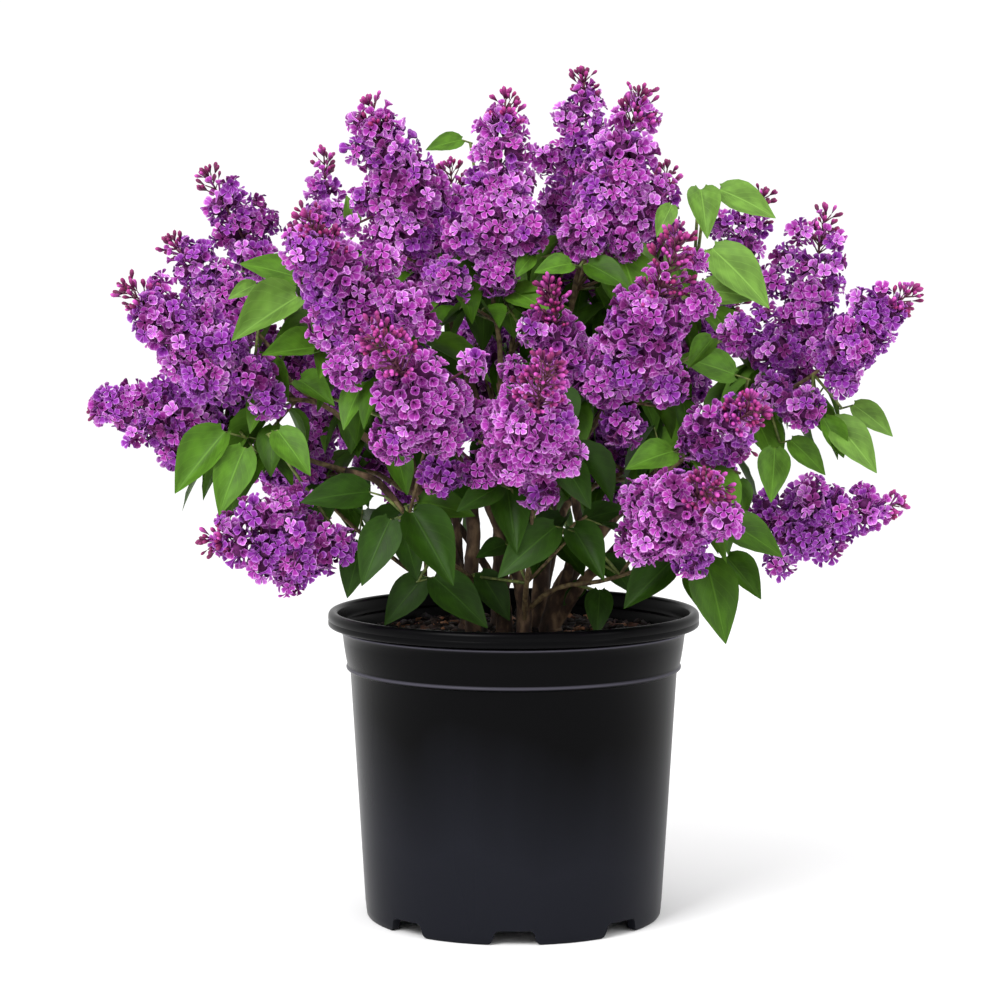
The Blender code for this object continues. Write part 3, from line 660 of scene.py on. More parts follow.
def chip_template(seed):
    """A splinter: a flat block, cut once more each way and knocked out of true."""
    deselect()
    bpy.ops.mesh.primitive_cube_add(size=1, scale=(CHIP_LENGTH, CHIP_LENGTH * 0.55, CHIP_LENGTH * 0.26))
    chip = bpy.context.object
    bpy.ops.object.transform_apply()
    edit_all()
    bpy.ops.mesh.subdivide(number_cuts=1)
    bpy.ops.transform.vertex_random(offset=CHIP_LENGTH * 0.16, seed=seed)
    bpy.ops.object.mode_set(mode="OBJECT")
    return template_of(chip)


def chip_finish(number, colour):
    return crumbly(f"bark chip {number}", tone(*colour), shaded(colour, 1.5), CHIP_SCALE)


def strew_chips():
    rng = random.Random(5)
    finishes = [chip_finish(number + 1, colour) for number, colour in enumerate(CHIP_TONES)]
    for number in range(CHIP_SHAPES):
        places, kinds = [], []
        for _ in range(CHIPS // CHIP_SHAPES):
            turn = rng.uniform(0, 2 * math.pi)
            out = CHIP_REACH * math.sqrt(rng.random())
            height = SOIL_HEIGHT + rng.uniform(*CHIP_HEIGHTS)
            spot = Vector((out * math.cos(turn), out * math.sin(turn), height))
            way = Vector((rng.gauss(0, CHIP_TILT), rng.gauss(0, CHIP_TILT), 1)).normalized()
            places.append(stand(spot, way, rng.uniform(0, 2 * math.pi), rng.uniform(*CHIP_SIZES)))
            kinds.append(rng.choice(CHIP_DEAL))
        chips = strewn(f"bark_chips_{number + 1}", chip_template(number), places, kinds, finishes)
        ready(chips, "potting_mix")


strew_chips()

# %% [markdown]
# ## Where everything grows
#
# The tables say where each panicle's tip is, by its bearing round the pot (from +X, so -90 is the front),
# its distance from the axis and its height, and how it leans. They also say where stems rise and which
# stem each bough springs from. These are the bush's own sizes, and everything below is worked out from
# them.

# %% The panicles
SEED = 47
GAP = 0.0003
UP = Vector((0, 0, 1))
HEART_HEIGHT = 0.285
FORK_SHARE = 0.60

Panicle = namedtuple("Panicle", "bearing out height lean turn length girth")
PANICLE_ROWS = {  # bearing, out and height in mm, lean, turn, length and girth in mm
    "far_left": [(180, 318, 386, 82, 0, 108, 62)],
    "left": [(-171, 290, 476, 50, -5, 115, 72), (173, 265, 510, 45, 0, 100, 60)],
    "left_top": [(168, 240, 562, 30, 0, 84, 50), (146, 178, 580, 14, -45, 90, 44)],
    "front_left_high": [(-134, 210, 530, 38, 15, 128, 70)],
    "top_left": [(-170, 112, 616, 24, 10, 138, 72)],
    "top_centre": [(-100, 30, 621, 6, 60, 140, 66)],
    "top_right": [(49, 80, 640, 7, 78, 105, 50), (0, 95, 622, 16, 15, 122, 72)],
    "back_right_top": [(40, 158, 570, 20, 20, 90, 46), (22, 210, 548, 25, 5, 100, 46)],
    "right_high": [(5, 238, 537, 12, 15, 146, 56)],
    "right": [(-7, 298, 475, 48, -7, 92, 52)],
    "right_front": [(-52, 190, 515, 36, -10, 145, 74)],
    "centre": [(-76, 101, 482, 26, -35, 92, 48)],
    "front": [(-84, 232, 430, 54, 5, 140, 74)],
    "front_left": [(-114, 240, 450, 56, 0, 145, 72)],
    "front_right": [(-39, 222, 394, 65, -20, 90, 58), (-58, 260, 345, 68, -10, 115, 72)],
    "low_right": [(-10, 292, 317, 80, 10, 108, 60)],
    "low_left": [(-161, 242, 292, 86, -15, 104, 62)],
    "back_low_right": [(42, 258, 350, 74, 0, 115, 64), (66, 255, 372, 70, 0, 110, 62)],
    "back_low": [(90, 262, 345, 76, 0, 118, 66)],
    "back_low_left": [(124, 258, 366, 72, 0, 115, 64), (150, 270, 350, 76, 0, 110, 62)],
    "back_right": [(40, 232, 462, 50, 0, 120, 66), (68, 222, 478, 46, 0, 120, 66)],
    "back": [(98, 216, 470, 48, 0, 125, 68)],
    "back_left": [(126, 222, 486, 44, 0, 120, 66), (152, 236, 440, 58, 0, 112, 62)],
    "back_top": [(70, 132, 576, 22, 0, 118, 62), (114, 124, 572, 20, 0, 115, 60)],
}


def panicle_of(bearing, out, height, lean, turn, length, girth):
    """A row of the table in metres."""
    return Panicle(bearing, out / 1000, height / 1000, lean, turn, length / 1000, girth / 1000)


PANICLES = {name: [panicle_of(*row) for row in rows] for name, rows in PANICLE_ROWS.items()}
print("panicles:", sum(len(rows) for rows in PANICLES.values()))

# %% The skirts, stems and boughs
Skirt = namedtuple("Skirt", "bearing out height stem share")
Stem = namedtuple("Stem", "name bearing out thickness mass")
Bough = namedtuple("Bough", "mass stem share")

SKIRTS = {  # leafy shoots low round the stems, by the place of their tip
    "skirt_front_left": Skirt(-132, 0.128, 0.322, "centre", 0.26),
    "skirt_front": Skirt(-84, 0.122, 0.318, "front", 0.26),
    "skirt_front_right": Skirt(-36, 0.146, 0.286, "front", 0.34),
    "skirt_right": Skirt(12, 0.170, 0.330, "back", 0.14),
    "skirt_back": Skirt(80, 0.140, 0.312, "back_left", 0.12),
    "skirt_left": Skirt(171, 0.152, 0.321, "far_left", 0.16),
}
STEMS = [
    Stem("centre", -125, 0.012, 0.013, "top_centre"), Stem("right", 4, 0.028, 0.016, "right_high"),
    Stem("left", 178, 0.030, 0.013, "top_left"), Stem("far_left", 140, 0.046, 0.012, "left"),
    Stem("back", 58, 0.036, 0.014, "top_right"), Stem("back_left", 104, 0.048, 0.012, "back_top"),
    Stem("front", -78, 0.036, 0.012, "front"),
]
BOUGHS = [
    Bough("far_left", "far_left", 0.42), Bough("low_left", "left", 0.26),
    Bough("left_top", "far_left", 0.66), Bough("front_left_high", "left", 0.58),
    Bough("front_left", "front", 0.46), Bough("centre", "centre", 0.62),
    Bough("right_front", "right", 0.52), Bough("front_right", "right", 0.34),
    Bough("low_right", "right", 0.15), Bough("right", "right", 0.72),
    Bough("back_right_top", "back", 0.60), Bough("back_low_right", "back", 0.24),
    Bough("back_right", "back", 0.42), Bough("back_low", "back_left", 0.22),
    Bough("back", "back_left", 0.46), Bough("back_left", "far_left", 0.30),
    Bough("back_low_left", "back_left", 0.34),
]
print("bush:", len(STEMS), "stems,", len(BOUGHS), "boughs and", len(SKIRTS), "skirts")

# %% Lines through space


def place(bearing, out, height):
    turn = math.radians(bearing)
    return Vector((out * math.cos(turn), out * math.sin(turn), height))


def heading(bearing):
    return place(bearing, 1, 0)


def bezier(start, start_way, end, end_way, count):
    """Points along one smooth bend that leaves and arrives in the given directions."""
    reach = (end - start).length / 3
    knots = (start, start + start_way * reach, end - end_way * reach, end)
    points = []
    for index in range(count):
        s = index / (count - 1)
        weights = ((1 - s) ** 3, 3 * s * (1 - s) ** 2, 3 * s * s * (1 - s), s**3)
        points.append(sum((knot * weight for knot, weight in zip(knots, weights)), Vector()))
    return points


def squared_off(points, way):
    """The same line with its last step along way."""
    return points[:-2] + [points[-1] - way * (points[-1] - points[-2]).length, points[-1]]


def crooked(points, amount, rng):
    """The same line with its inner points moved a little off it, level with the ground."""
    drawn = [Vector((rng.uniform(-1, 1), rng.uniform(-1, 1), 0)) * amount for _ in points]
    return [points[0], points[1]] + [p + d for p, d in zip(points[2:-2], drawn)] + points[-2:]


def tapered(points, first, last):
    """The line with a radius at each point, from the first to the last."""
    steps = len(points) - 1
    return points, [first + (last - first) * index / steps for index in range(steps + 1)]


def frame_of(way):
    """Two directions square to this one."""
    side = way.cross(UP)
    side = side.normalized() if side.length > 0.05 else Vector((1, 0, 0))
    return side, way.cross(side).normalized()


def sideways(way, angle):
    """The direction square to this one at an angle round it."""
    side, other = frame_of(way)
    return side * math.cos(angle) + other * math.sin(angle)


def panicle_axis(row):
    lean = math.radians(row.lean)
    return heading(row.bearing + row.turn) * math.sin(lean) + UP * math.cos(lean)


def panicle_foot(row):
    return place(row.bearing, row.out, row.height) - panicle_axis(row) * row.length


def joint(mass):
    """Where the limb that carries a flowering mass ends, and its direction there."""
    feet = [panicle_foot(row) for row in PANICLES[mass]]
    middle = sum(feet, Vector()) / len(feet)
    spot = (UP * HEART_HEIGHT).lerp(middle, FORK_SHARE)
    axis = sum((panicle_axis(row) for row in PANICLES[mass]), Vector()).normalized()
    return spot, (axis + (middle - spot).normalized() * 2).normalized()


print("the tallest panicle's foot:", [round(v, 3) for v in panicle_foot(PANICLES["top_right"][0])])

# %% [markdown]
# ## Stems and boughs
#
# Lilac stems rise straight from the mix, a little crooked, and taper as their boughs leave them. Each
# could be skinned from a chain of points with a Skin modifier, but that gives square knuckles at every
# bend. A curve with a bevel keeps the exact taper of the frame's solids. It is turned into a mesh, and a
# Displace modifier with a cloudy texture then gives it the shallow furrows and bumps of real bark.

# %% The lines of the limbs
BOUGH_TIP = 0.0026
ROOT_FLARE = 1.3
FLARE_HEIGHT = 0.010
STEM_CROOK = 0.0020
BOUGH_CROOK = 0.0012
BOUGH_SHARE = 0.62


def stem_line(row, rng):
    foot = place(row.bearing, row.out, SOIL_HEIGHT + GAP)
    end, way = joint(row.mass)
    lean = (UP * 1.4 + heading(row.bearing) * 0.25).normalized()
    bend = bezier(foot + UP * FLARE_HEIGHT, lean, end, way, 7)
    points = [foot, foot + UP * FLARE_HEIGHT * 0.4] + squared_off(crooked(bend, STEM_CROOK, rng), way)
    thick = row.thickness / 2
    radii = [thick * ROOT_FLARE, thick * (1 + ROOT_FLARE) / 2]
    for index in range(len(bend)):
        share = index / (len(bend) - 1)
        radii.append(thick * (1 - share) + BOUGH_TIP * 1.15 * share)
    return points, radii


def along(line, share):
    """The place, direction and radius this share of the way along a limb."""
    points, radii = line
    spot = share * (len(points) - 1)
    index = min(int(spot), len(points) - 2)
    rest = spot - index
    low, high = points[index], points[index + 1]
    radius = radii[index] * (1 - rest) + radii[index + 1] * rest
    return low.lerp(high, rest), (high - low).normalized(), radius


def bough_line(row, stems, rng):
    start, way_up, radius = along(stems[row.stem], row.share)
    end, way = joint(row.mass)
    spread = (end - start).normalized()
    bend = bezier(start, (spread + way_up * 0.45).normalized(), end, way, 6)
    points = squared_off(crooked(bend, BOUGH_CROOK, rng), way)
    return tapered(points, max(radius * BOUGH_SHARE, BOUGH_TIP * 1.1), BOUGH_TIP)


limb_rng = random.Random(SEED)
stem_lines = {row.name: stem_line(row, limb_rng) for row in STEMS}
bough_lines = {row.mass: bough_line(row, stem_lines, limb_rng) for row in BOUGHS}
print("limbs:", len(stem_lines), "stems and", len(bough_lines), "boughs")

# %% Smooth tubes
LIMB_PARTS = 12  # short steps between two points of a limb
MERGE_BELOW = 0.000001


def smoothed(points, radii, parts):
    """The line with more points, on a smooth curve through the given ones."""
    padded = [points[0] * 2 - points[1]] + points + [points[-1] * 2 - points[-2]]
    fine, sizes = [], []
    for index in range(len(points) - 1):
        before, low, high, after = padded[index : index + 4]
        for step in range(parts):
            s = step / parts
            bend = 2 * low + (high - before) * s + (2 * before - 5 * low + 4 * high - after) * s * s
            fine.append(0.5 * (bend + (3 * low - before - 3 * high + after) * s**3))
            sizes.append(radii[index] * (1 - s) + radii[index + 1] * s)
    return fine + [points[-1]], sizes + [radii[-1]]


def piped(name, lines, roundness):
    """All these lines of (points, radii) as one mesh of closed tubes."""
    deselect()
    bpy.ops.object.add(type="CURVE")
    obj = bpy.context.object
    obj.name = name
    obj.data.dimensions = "3D"
    obj.data.bevel_depth = 1
    obj.data.bevel_resolution = roundness
    obj.data.use_fill_caps = True
    for points, radii in lines:
        spline = obj.data.splines.new("POLY")
        spline.points.add(len(points) - 1)
        spline.points.foreach_set("co", [value for point in points for value in (*point, 1)])
        spline.points.foreach_set("radius", radii)
    bpy.ops.object.convert(target="MESH")
    obj = bpy.context.object
    edit_all()
    bpy.ops.mesh.remove_doubles(threshold=MERGE_BELOW)
    face_outwards()
    obj.data.shade_smooth()
    return obj


print("a stem has", len(smoothed(*stem_lines["centre"], LIMB_PARTS)[0]), "rings")

# %% Limbs with bark
LIMB_ROUNDNESS = 4
RELIEF = 0.0016
BOUGH_RELIEF = RELIEF * 0.6
RELIEF_SIZE = 0.006
BARK_TONES = (tone(28, 20, 15), tone(62, 45, 33), tone(126, 103, 78))
PATCHES = (1, 1, 0.45)  # longer upright
CRACKS = (1, 1, 0.2)


def bark_finish():
    """Grey-brown bark with paler worn patches and fine upright cracks."""
    dark, middle, pale = BARK_TONES
    made, tree, shader = finish_of("bark", middle, 0.8, 0.3)
    patches = noise(tree, place_node(tree, PATCHES), 120.0, 5.0)
    colour = ramp(tree, patches, (0.30, dark), (0.50, middle), (0.72, pale))
    tree.links.new(colour, shader.inputs["Base Color"])
    cracks = noise(tree, place_node(tree, CRACKS), 900.0, 3.0)
    bump(tree, shader, cracks, 0.5, 0.0006)
    return made


def barked(name, line, relief):
    """A limb's tube with the relief of its bark."""
    limb = piped(name, [smoothed(*line, LIMB_PARTS)], LIMB_ROUNDNESS)
    furrows = bpy.data.textures.new("furrows", "CLOUDS")
    furrows.noise_scale = RELIEF_SIZE
    furrows.noise_depth = 3
    lift = limb.modifiers.new("relief", "DISPLACE")
    lift.texture = furrows
    lift.texture_coords = "LOCAL"
    lift.strength = relief
    apply_modifiers(limb)
    limb.data.materials.append(bark)
    return limb


bark = bark_finish()
for name, line in stem_lines.items():
    ready(barked(f"bark_stem_{name}", line, RELIEF), "bark", f"stem_{name}")
for name, line in bough_lines.items():
    ready(barked(f"bark_bough_{name}", line, BOUGH_RELIEF), "bark", f"bough_{name}")

# %% [markdown]
# ## Twigs and the places of the leaves
#
# From its limb's tip each mass sends a main twig to every panicle. Leaves stand on it in opposite pairs,
# each pair turned a quarter from the last, as on every lilac, and side shoots carry more. The rule draws
# the same random numbers as the frame's solids, so the same leaves come out. A second set of draws drops
# some of them and adds finer shoots, and a table adds the larger leaves that stand out, each on a twig of
# its own.

# %% A pair of leaves
LEAF_LENGTH = 0.060
LEAF_WIDTH = 0.035
LEAF_SIZES = (0.82, 1.08)
PETIOLE = 0.018
LEAF_ROLL = 0.45
LEAF_HANG = (0.35, 1.15)
PAIR_STRAY = 0.3


def leaf_pair(spot, way, phase, rng):
    """The two opposite leaves at a node: (root, petiole direction, blade's side, hang, length)."""
    pair = []
    for half in (0, math.pi):
        out = sideways(way, phase + half + rng.uniform(-PAIR_STRAY, PAIR_STRAY))
        petiole = (out * 0.85 + way * 0.5).normalized()
        flat = Vector((petiole.x, petiole.y, 0))
        if flat.length < 0.15:
            flat = Vector((spot.x, spot.y, 0)) + frame_of(way)[0] * 0.01
            petiole = (petiole + flat.normalized() * 0.5).normalized()
        roll = rng.uniform(-LEAF_ROLL, LEAF_ROLL)
        across = flat.normalized().cross(UP) * math.cos(roll) + UP * math.sin(roll) * 0.6
        hang = rng.uniform(*LEAF_HANG)
        length = LEAF_LENGTH * rng.uniform(*LEAF_SIZES)
        pair.append((spot, petiole, across.normalized(), hang, length))
    return pair


print("a leaf:", LEAF_LENGTH, "m long and", LEAF_WIDTH, "m wide")

# %% The growing rule
TWIG_STEP = 0.034
TWIG_RADIUS = 0.0023
TIP_RADIUS = 0.0014
SHOOT_TAPER = 0.8
SHOOT_LENGTH = (0.040, 0.062)
SHOOTS = 1
SKIRT_SHOOTS = 4
PANICLE_SINK = 0.012


def middles(points):
    """The middle and the direction of each step of a twig, where its leaves stand."""
    return [((low + high) / 2, (high - low).normalized()) for low, high in zip(points, points[1:])]


def grow(start, way, ends, shoots, rng):
    """The main twigs of a mass, one to each (point, direction) of ends, its sprays and its nodes."""
    twigs, sprays, nodes = [], [], []
    for spot, final in ends:
        steps = max(2, round((spot - start).length / TWIG_STEP))
        line = bezier(start, way, spot, final, steps + 1)
        line[1] = start + way * (line[1] - start).length
        twigs.append(tapered(line, TWIG_RADIUS, TIP_RADIUS))
        fresh = middles(line)[1:]
        phase = rng.uniform(0, math.pi)
        pairs = [leaf_pair(*spot, phase + index * math.pi / 2, rng) for index, spot in enumerate(fresh)]
        sprays.append((None, sum(pairs, [])))
        nodes += fresh
        start = line[1]
    for index in range(shoots):
        spot, way_up = nodes[index % len(nodes)]
        sprays.append(side_shoot(spot, way_up, rng.uniform(0, 2 * math.pi), SHOOT_LENGTH, rng))
    return twigs, sprays, nodes


def side_shoot(spot, way_up, angle, lengths, rng):
    """A slim shoot with two pairs of leaves."""
    spread = (sideways(way_up, angle) + way_up * 0.7).normalized()
    length = rng.uniform(*lengths)
    tip = spot + spread * length
    phase = rng.uniform(0, math.pi)
    leaves = leaf_pair(spot + spread * length * 0.5, spread, phase, rng)
    leaves += leaf_pair(tip - spread * 0.003, spread, phase + math.pi / 2, rng)
    return tapered([spot, tip], TIP_RADIUS, TIP_RADIUS * SHOOT_TAPER), leaves


def grow_mass(name, number):
    """Everything that one mass grows, from its limb or its stem."""
    rng = random.Random(SEED + 1 + number)
    if name in SKIRTS:
        row = SKIRTS[name]
        start, way_up, _ = along(stem_lines[row.stem], row.share)
        tip = place(row.bearing, row.out, row.height)
        way = ((tip - start).normalized() + way_up * 0.3).normalized()
        return grow(start, way, [(tip, way)], SKIRT_SHOOTS, rng)
    spot, way = joint(name)
    axes = [(row, panicle_axis(row)) for row in PANICLES[name]]
    ends = [(panicle_foot(row) + axis * PANICLE_SINK, axis) for row, axis in axes]
    return grow(spot + way * GAP, way, ends, SHOOTS, rng)


masses = list(SKIRTS) + list(PANICLES)
grown = {name: grow_mass(name, number) for number, name in enumerate(masses)}
print("rule:", sum(len(leaves) for _, sprays, _ in grown.values() for _, leaves in sprays), "leaves")

# %% The leaves that stand out
Leaf = namedtuple("Leaf", "bearing out height heading hang length")
SHOWING = {  # bearing, distance out and height in mm, heading and hang in degrees, length in mm
    "front_left": [(-137, 117, 358, -59, 69, 34), (-162, 165, 407, -41, 33, 38)],
    "left": [
        (-162, 166, 482, -151, -10, 44), (-159, 169, 468, -144, 35, 62), (-165, 195, 477, -147, 27, 24),
    ],
    "far_left": [(-163, 206, 358, -123, 61, 53), (-167, 218, 369, -161, 56, 58)],
    "low_left": [(-155, 189, 372, -45, 46, 43)],
    "front_left_high": [
        (-151, 163, 432, -150, 12, 43), (-158, 157, 453, -137, 22, 33), (-149, 156, 429, -103, 43, 30),
    ],
    "left_top": [(162, 127, 520, -122, -59, 24)],
    "top_centre": [(134, 56, 585, -157, 17, 29)],
    "top_right": [
        (-29, 62, 492, -37, 28, 40), (-43, 58, 492, -139, 12, 33), (-65, 33, 498, -132, 43, 24),
    ],
    "back_right_top": [
        (-17, 143, 546, -83, 60, 43), (-15, 156, 546, -16, 29, 45), (-14, 120, 535, -133, 58, 27),
    ],
    "right_front": [
        (-29, 163, 503, -31, 46, 59), (-31, 156, 473, -14, 10, 43), (-26, 160, 438, -146, 50, 30),
    ],
    "right_high": [(-17, 169, 411, -153, -13, 47)],
    "centre": [(-98, 20, 472, -52, 20, 43)],
    "right": [
        (-5, 238, 376, -38, 48, 51), (-7, 231, 378, 0, 69, 34), (0, 255, 386, -22, 40, 37),
        (-6, 207, 361, -25, 46, 36),
    ],
    "low_right": [(-23, 205, 359, -99, 59, 42)],
    "front_right": [
        (-41, 198, 311, -31, 31, 48), (-41, 167, 274, -69, 66, 28), (-41, 151, 358, -134, 14, 45),
    ],
    "skirt_front_left": [
        (-136, 145, 329, -154, 9, 50), (-129, 141, 310, -127, 59, 52), (-126, 124, 314, -41, 59, 62),
        (-130, 91, 264, -32, 41, 54), (-152, 127, 288, -125, 72, 41), (-139, 107, 299, -53, 70, 38),
        (-131, 106, 320, -42, 10, 49), (-149, 77, 261, -158, 52, 46),
    ],
    "skirt_front": [
        (-67, 108, 303, -49, 54, 47), (-95, 110, 334, -143, 26, 39), (-93, 100, 332, -76, 65, 51),
        (-75, 114, 305, -150, 40, 55), (-96, 60, 287, -131, 16, 29), (-122, 47, 264, -30, 59, 41),
        (-75, 124, 355, -49, 51, 44),
    ],
    "skirt_front_right": [
        (-38, 148, 281, -162, 49, 53), (-41, 181, 282, -65, 67, 61), (-36, 188, 283, -27, 54, 39),
        (-32, 75, 251, -96, 55, 37), (-37, 83, 277, -30, 52, 34), (0, 53, 252, -141, 43, 24),
        (-54, 87, 306, -37, -12, 36),
    ],
}
FACING = Vector((0, -0.85, 0.50))  # the way these leaves turn their upper side
ARCHED = math.radians(8)  # how much further the tip hangs than the blade does at its stalk


def leaf_row(bearing, out, height, heading, hang, length):
    """A row of the table, in metres."""
    return Leaf(bearing, out / 1000, height / 1000, heading, hang, length / 1000)


def show_leaf(row, nodes):
    """A leaf that stands out, on a twig from the nearest node of its mass."""
    start = place(row.bearing, row.out, row.height)
    spot = min((spot for spot, _ in nodes), key=lambda spot: (spot - start).length)
    flat = heading(row.heading)
    way = (flat + UP * 0.3).normalized()
    root = start - way * PETIOLE * row.length / LEAF_LENGTH
    hang = math.radians(row.hang) - ARCHED
    blade = flat * math.cos(hang) - UP * math.sin(hang)
    twig = tapered([spot, root + way * 0.002], TIP_RADIUS, TIP_RADIUS * SHOOT_TAPER)
    return twig, [(root, way, blade.cross(FACING).normalized(), hang, row.length)]


print("leaves that stand out:", sum(len(rows) for rows in SHOWING.values()))

# %% Thinner leaves and finer shoots
FINE_LENGTH = (0.022, 0.045)
FINE_SIZES = (0.50, 0.80)
FINE_SHOOTS = 2  # at each node
LEAF_SHARE = 0.82  # of the leaves on a flowering mass, this share is kept
SKIRT_SHARE = 0.60


def thinned(spray, share, rng):
    """The spray without the leaves that fell, or that never grew in the shade."""
    twig, leaves = spray
    return twig, [leaf for leaf in leaves if rng.random() < share]


def finer_shoots(nodes, rng):
    """Short shoots with small leaves."""
    for spot, way_up in nodes * FINE_SHOOTS:
        twig, leaves = side_shoot(spot, way_up, rng.uniform(0, 2 * math.pi), FINE_LENGTH, rng)
        size = rng.uniform(*FINE_SIZES)
        yield twig, [(*leaf[:4], leaf[4] * size) for leaf in leaves]


sprays, chosen_sprays, twig_lines = [], [], []
for number, (name, (twigs, grown_sprays, nodes)) in enumerate(grown.items()):
    rng = random.Random(SEED * 10 + number)
    share = SKIRT_SHARE if name in SKIRTS else LEAF_SHARE
    twig_lines += twigs
    chosen_sprays += [show_leaf(leaf_row(*row), nodes) for row in SHOWING.get(name, [])]
    sprays += [thinned(spray, share, rng) for spray in grown_sprays]
    if name not in SKIRTS:
        sprays += finer_shoots(nodes, rng)
print("sprays:", len(sprays), "and", len(chosen_sprays), "single leaves")

# %% [markdown]
# ## How wide a panicle is
#
# A lilac panicle is a spindle: it swells over its first third, then tapers to a tuft of buds. Its lowest
# side branches may spread wide, so where the photo shows one, a table gives it a ball of its own. One
# formula for the spindle's radius then serves twice: to set out the florets, and to keep leaves out of
# the blossom.

# %% Side clusters
CLUSTERS = {  # bearing, then distance out, height and radius in mm
    "far_left": [
        (-179, 285, 393, 9), (-179, 297, 379, 8), (-178, 271, 387, 11), (-179, 280, 372, 7),
        (-179, 301, 393, 7), (-179, 254, 350, 11), (-179, 261, 399, 10), (-179, 231, 379, 15),
        (-178, 256, 372, 14), (-179, 214, 394, 13), (-176, 283, 363, 6),
    ],
    "left": [
        (-169, 271, 447, 11), (178, 212, 442, 17), (-166, 196, 411, 15), (-165, 233, 408, 15),
        (-165, 187, 392, 12), (173, 251, 505, 5), (173, 236, 502, 5), (-176, 263, 478, 5),
    ],
    "left_top": [
        (168, 192, 523, 9), (170, 194, 493, 12), (157, 178, 513, 11), (173, 178, 464, 11),
        (172, 215, 550, 5), (174, 195, 537, 5), (147, 182, 552, 5),
    ],
    "front_left_high": [
        (-129, 127, 452, 11), (-136, 203, 502, 15), (-130, 143, 467, 15), (-139, 161, 442, 15),
        (-130, 144, 494, 12), (-121, 146, 463, 14), (-117, 140, 449, 9),
    ],
    "top_left": [
        (-172, 71, 490, 12), (-170, 117, 596, 7), (-171, 117, 576, 8), (-173, 113, 539, 9),
        (-169, 48, 476, 14), (-173, 63, 513, 17), (-172, 97, 509, 15), (-168, 45, 535, 12),
        (-145, 62, 477, 17), (-170, 121, 520, 5),
    ],
    "top_centre": [
        (-113, 32, 484, 15), (-139, 48, 513, 15), (-75, 32, 513, 15), (-81, 15, 583, 7),
        (-124, 18, 599, 7), (-158, 27, 574, 5), (-156, 25, 592, 5),
    ],
    "top_right": [
        (53, 66, 602, 9), (66, 60, 570, 11), (-23, 57, 513, 17), (50, 54, 536, 14), (-9, 95, 528, 17),
        (-5, 105, 546, 11), (-15, 85, 506, 12), (54, 62, 579, 6), (0, 81, 598, 7), (0, 101, 600, 7),
        (47, 83, 622, 5), (0, 94, 609, 5), (53, 75, 607, 5),
    ],
    "back_right_top": [(23, 174, 521, 10), (21, 184, 502, 11), (17, 177, 479, 12), (21, 153, 464, 11)],
    "right_high": [
        (1, 170, 438, 15), (-1, 213, 390, 15), (0, 196, 427, 17), (1, 247, 412, 12), (4, 195, 478, 11),
        (4, 206, 497, 9), (4, 217, 515, 8), (0, 226, 424, 15), (-9, 193, 397, 13), (-8, 216, 385, 14),
        (-7, 245, 406, 10), (-3, 187, 455, 8), (2, 242, 493, 5), (2, 241, 509, 5), (2, 242, 476, 5),
    ],
    "right": [(-8, 272, 468, 7), (-8, 249, 432, 14), (-8, 265, 451, 11), (-4, 257, 465, 7)],
    "right_front": [
        (-41, 144, 406, 15), (-47, 114, 376, 14), (-54, 111, 405, 15), (-49, 137, 434, 15),
        (-45, 184, 467, 12), (-45, 183, 494, 5),
    ],
    "centre": [(-91, 75, 415, 9), (-80, 87, 445, 12), (-55, 84, 412, 14)],
    "front": [(-82, 125, 332, 12), (-93, 137, 358, 15), (-78, 157, 359, 15), (-83, 179, 378, 17)],
    "front_left": [
        (-125, 202, 421, 13), (-121, 164, 369, 15), (-115, 125, 342, 14), (-102, 116, 346, 14),
        (-101, 152, 422, 9), (-111, 138, 375, 17), (-103, 122, 382, 14),
    ],
    "front_right": [
        (-50, 193, 285, 12), (-56, 158, 297, 15), (-56, 254, 319, 12), (-57, 164, 326, 14),
        (-34, 161, 366, 12),
    ],
    "low_right": [
        (-14, 225, 328, 9), (-16, 203, 272, 9), (-13, 235, 285, 10), (-17, 192, 312, 12),
        (-16, 218, 290, 12), (-11, 262, 325, 5), (-11, 274, 313, 5),
    ],
    "low_left": [
        (-154, 181, 262, 9), (-156, 200, 312, 9), (-153, 174, 323, 8), (-149, 148, 288, 11),
        (-152, 176, 278, 15), (-156, 198, 274, 11), (-157, 206, 313, 10), (-154, 186, 318, 10),
        (-159, 228, 289, 5), (-159, 225, 305, 5),
    ],
}


def ball_row(bearing, out, height, size):
    """A row of the table in metres, as the ball's centre and radius."""
    return place(bearing, out / 1000, height / 1000), size / 1000


CLUSTER_BALLS = {name: [ball_row(*row) for row in rows] for name, rows in CLUSTERS.items()}
print("side clusters:", sum(len(rows) for rows in CLUSTERS.values()))

# %% The panicle's outline
PANICLE_SWELL = 0.36
PANICLE_FULL = 0.22
PANICLE_END = 0.28
STALK_END = 0.8  # of a panicle's middle line, the part that side clusters hang on
ROWS = [(name, row) for name, rows in PANICLES.items() for row in rows]
SPINDLES = [(panicle_foot(row), panicle_axis(row), row) for _, row in ROWS]


def panicle_radius(row, share):
    swell = math.sin(math.pi * min(1, max(0, share) / PANICLE_SWELL) / 2) ** 0.8
    taper = 1 - (1 - PANICLE_END) * max(0, share - PANICLE_FULL) / (1 - PANICLE_FULL)
    return row.girth / 2 * swell * taper


def nearest_on(row, spot):
    """The point of a panicle's middle line that is nearest to this spot."""
    axis, foot = panicle_axis(row), panicle_foot(row)
    return foot + axis * max(0, min(row.length * STALK_END, (spot - foot).dot(axis)))


def in_blossom(spot, margin):
    """Whether this spot lies inside a panicle or a side cluster, by more than the margin."""
    for foot, axis, row in SPINDLES:
        offset = spot - foot
        height = offset.dot(axis)
        if 0 < height < row.length:
            if (offset - axis * height).length < panicle_radius(row, height / row.length) - margin:
                return True
    balls = (ball for row in CLUSTER_BALLS.values() for ball in row)
    return any((spot - centre).length < size - margin for centre, size in balls)


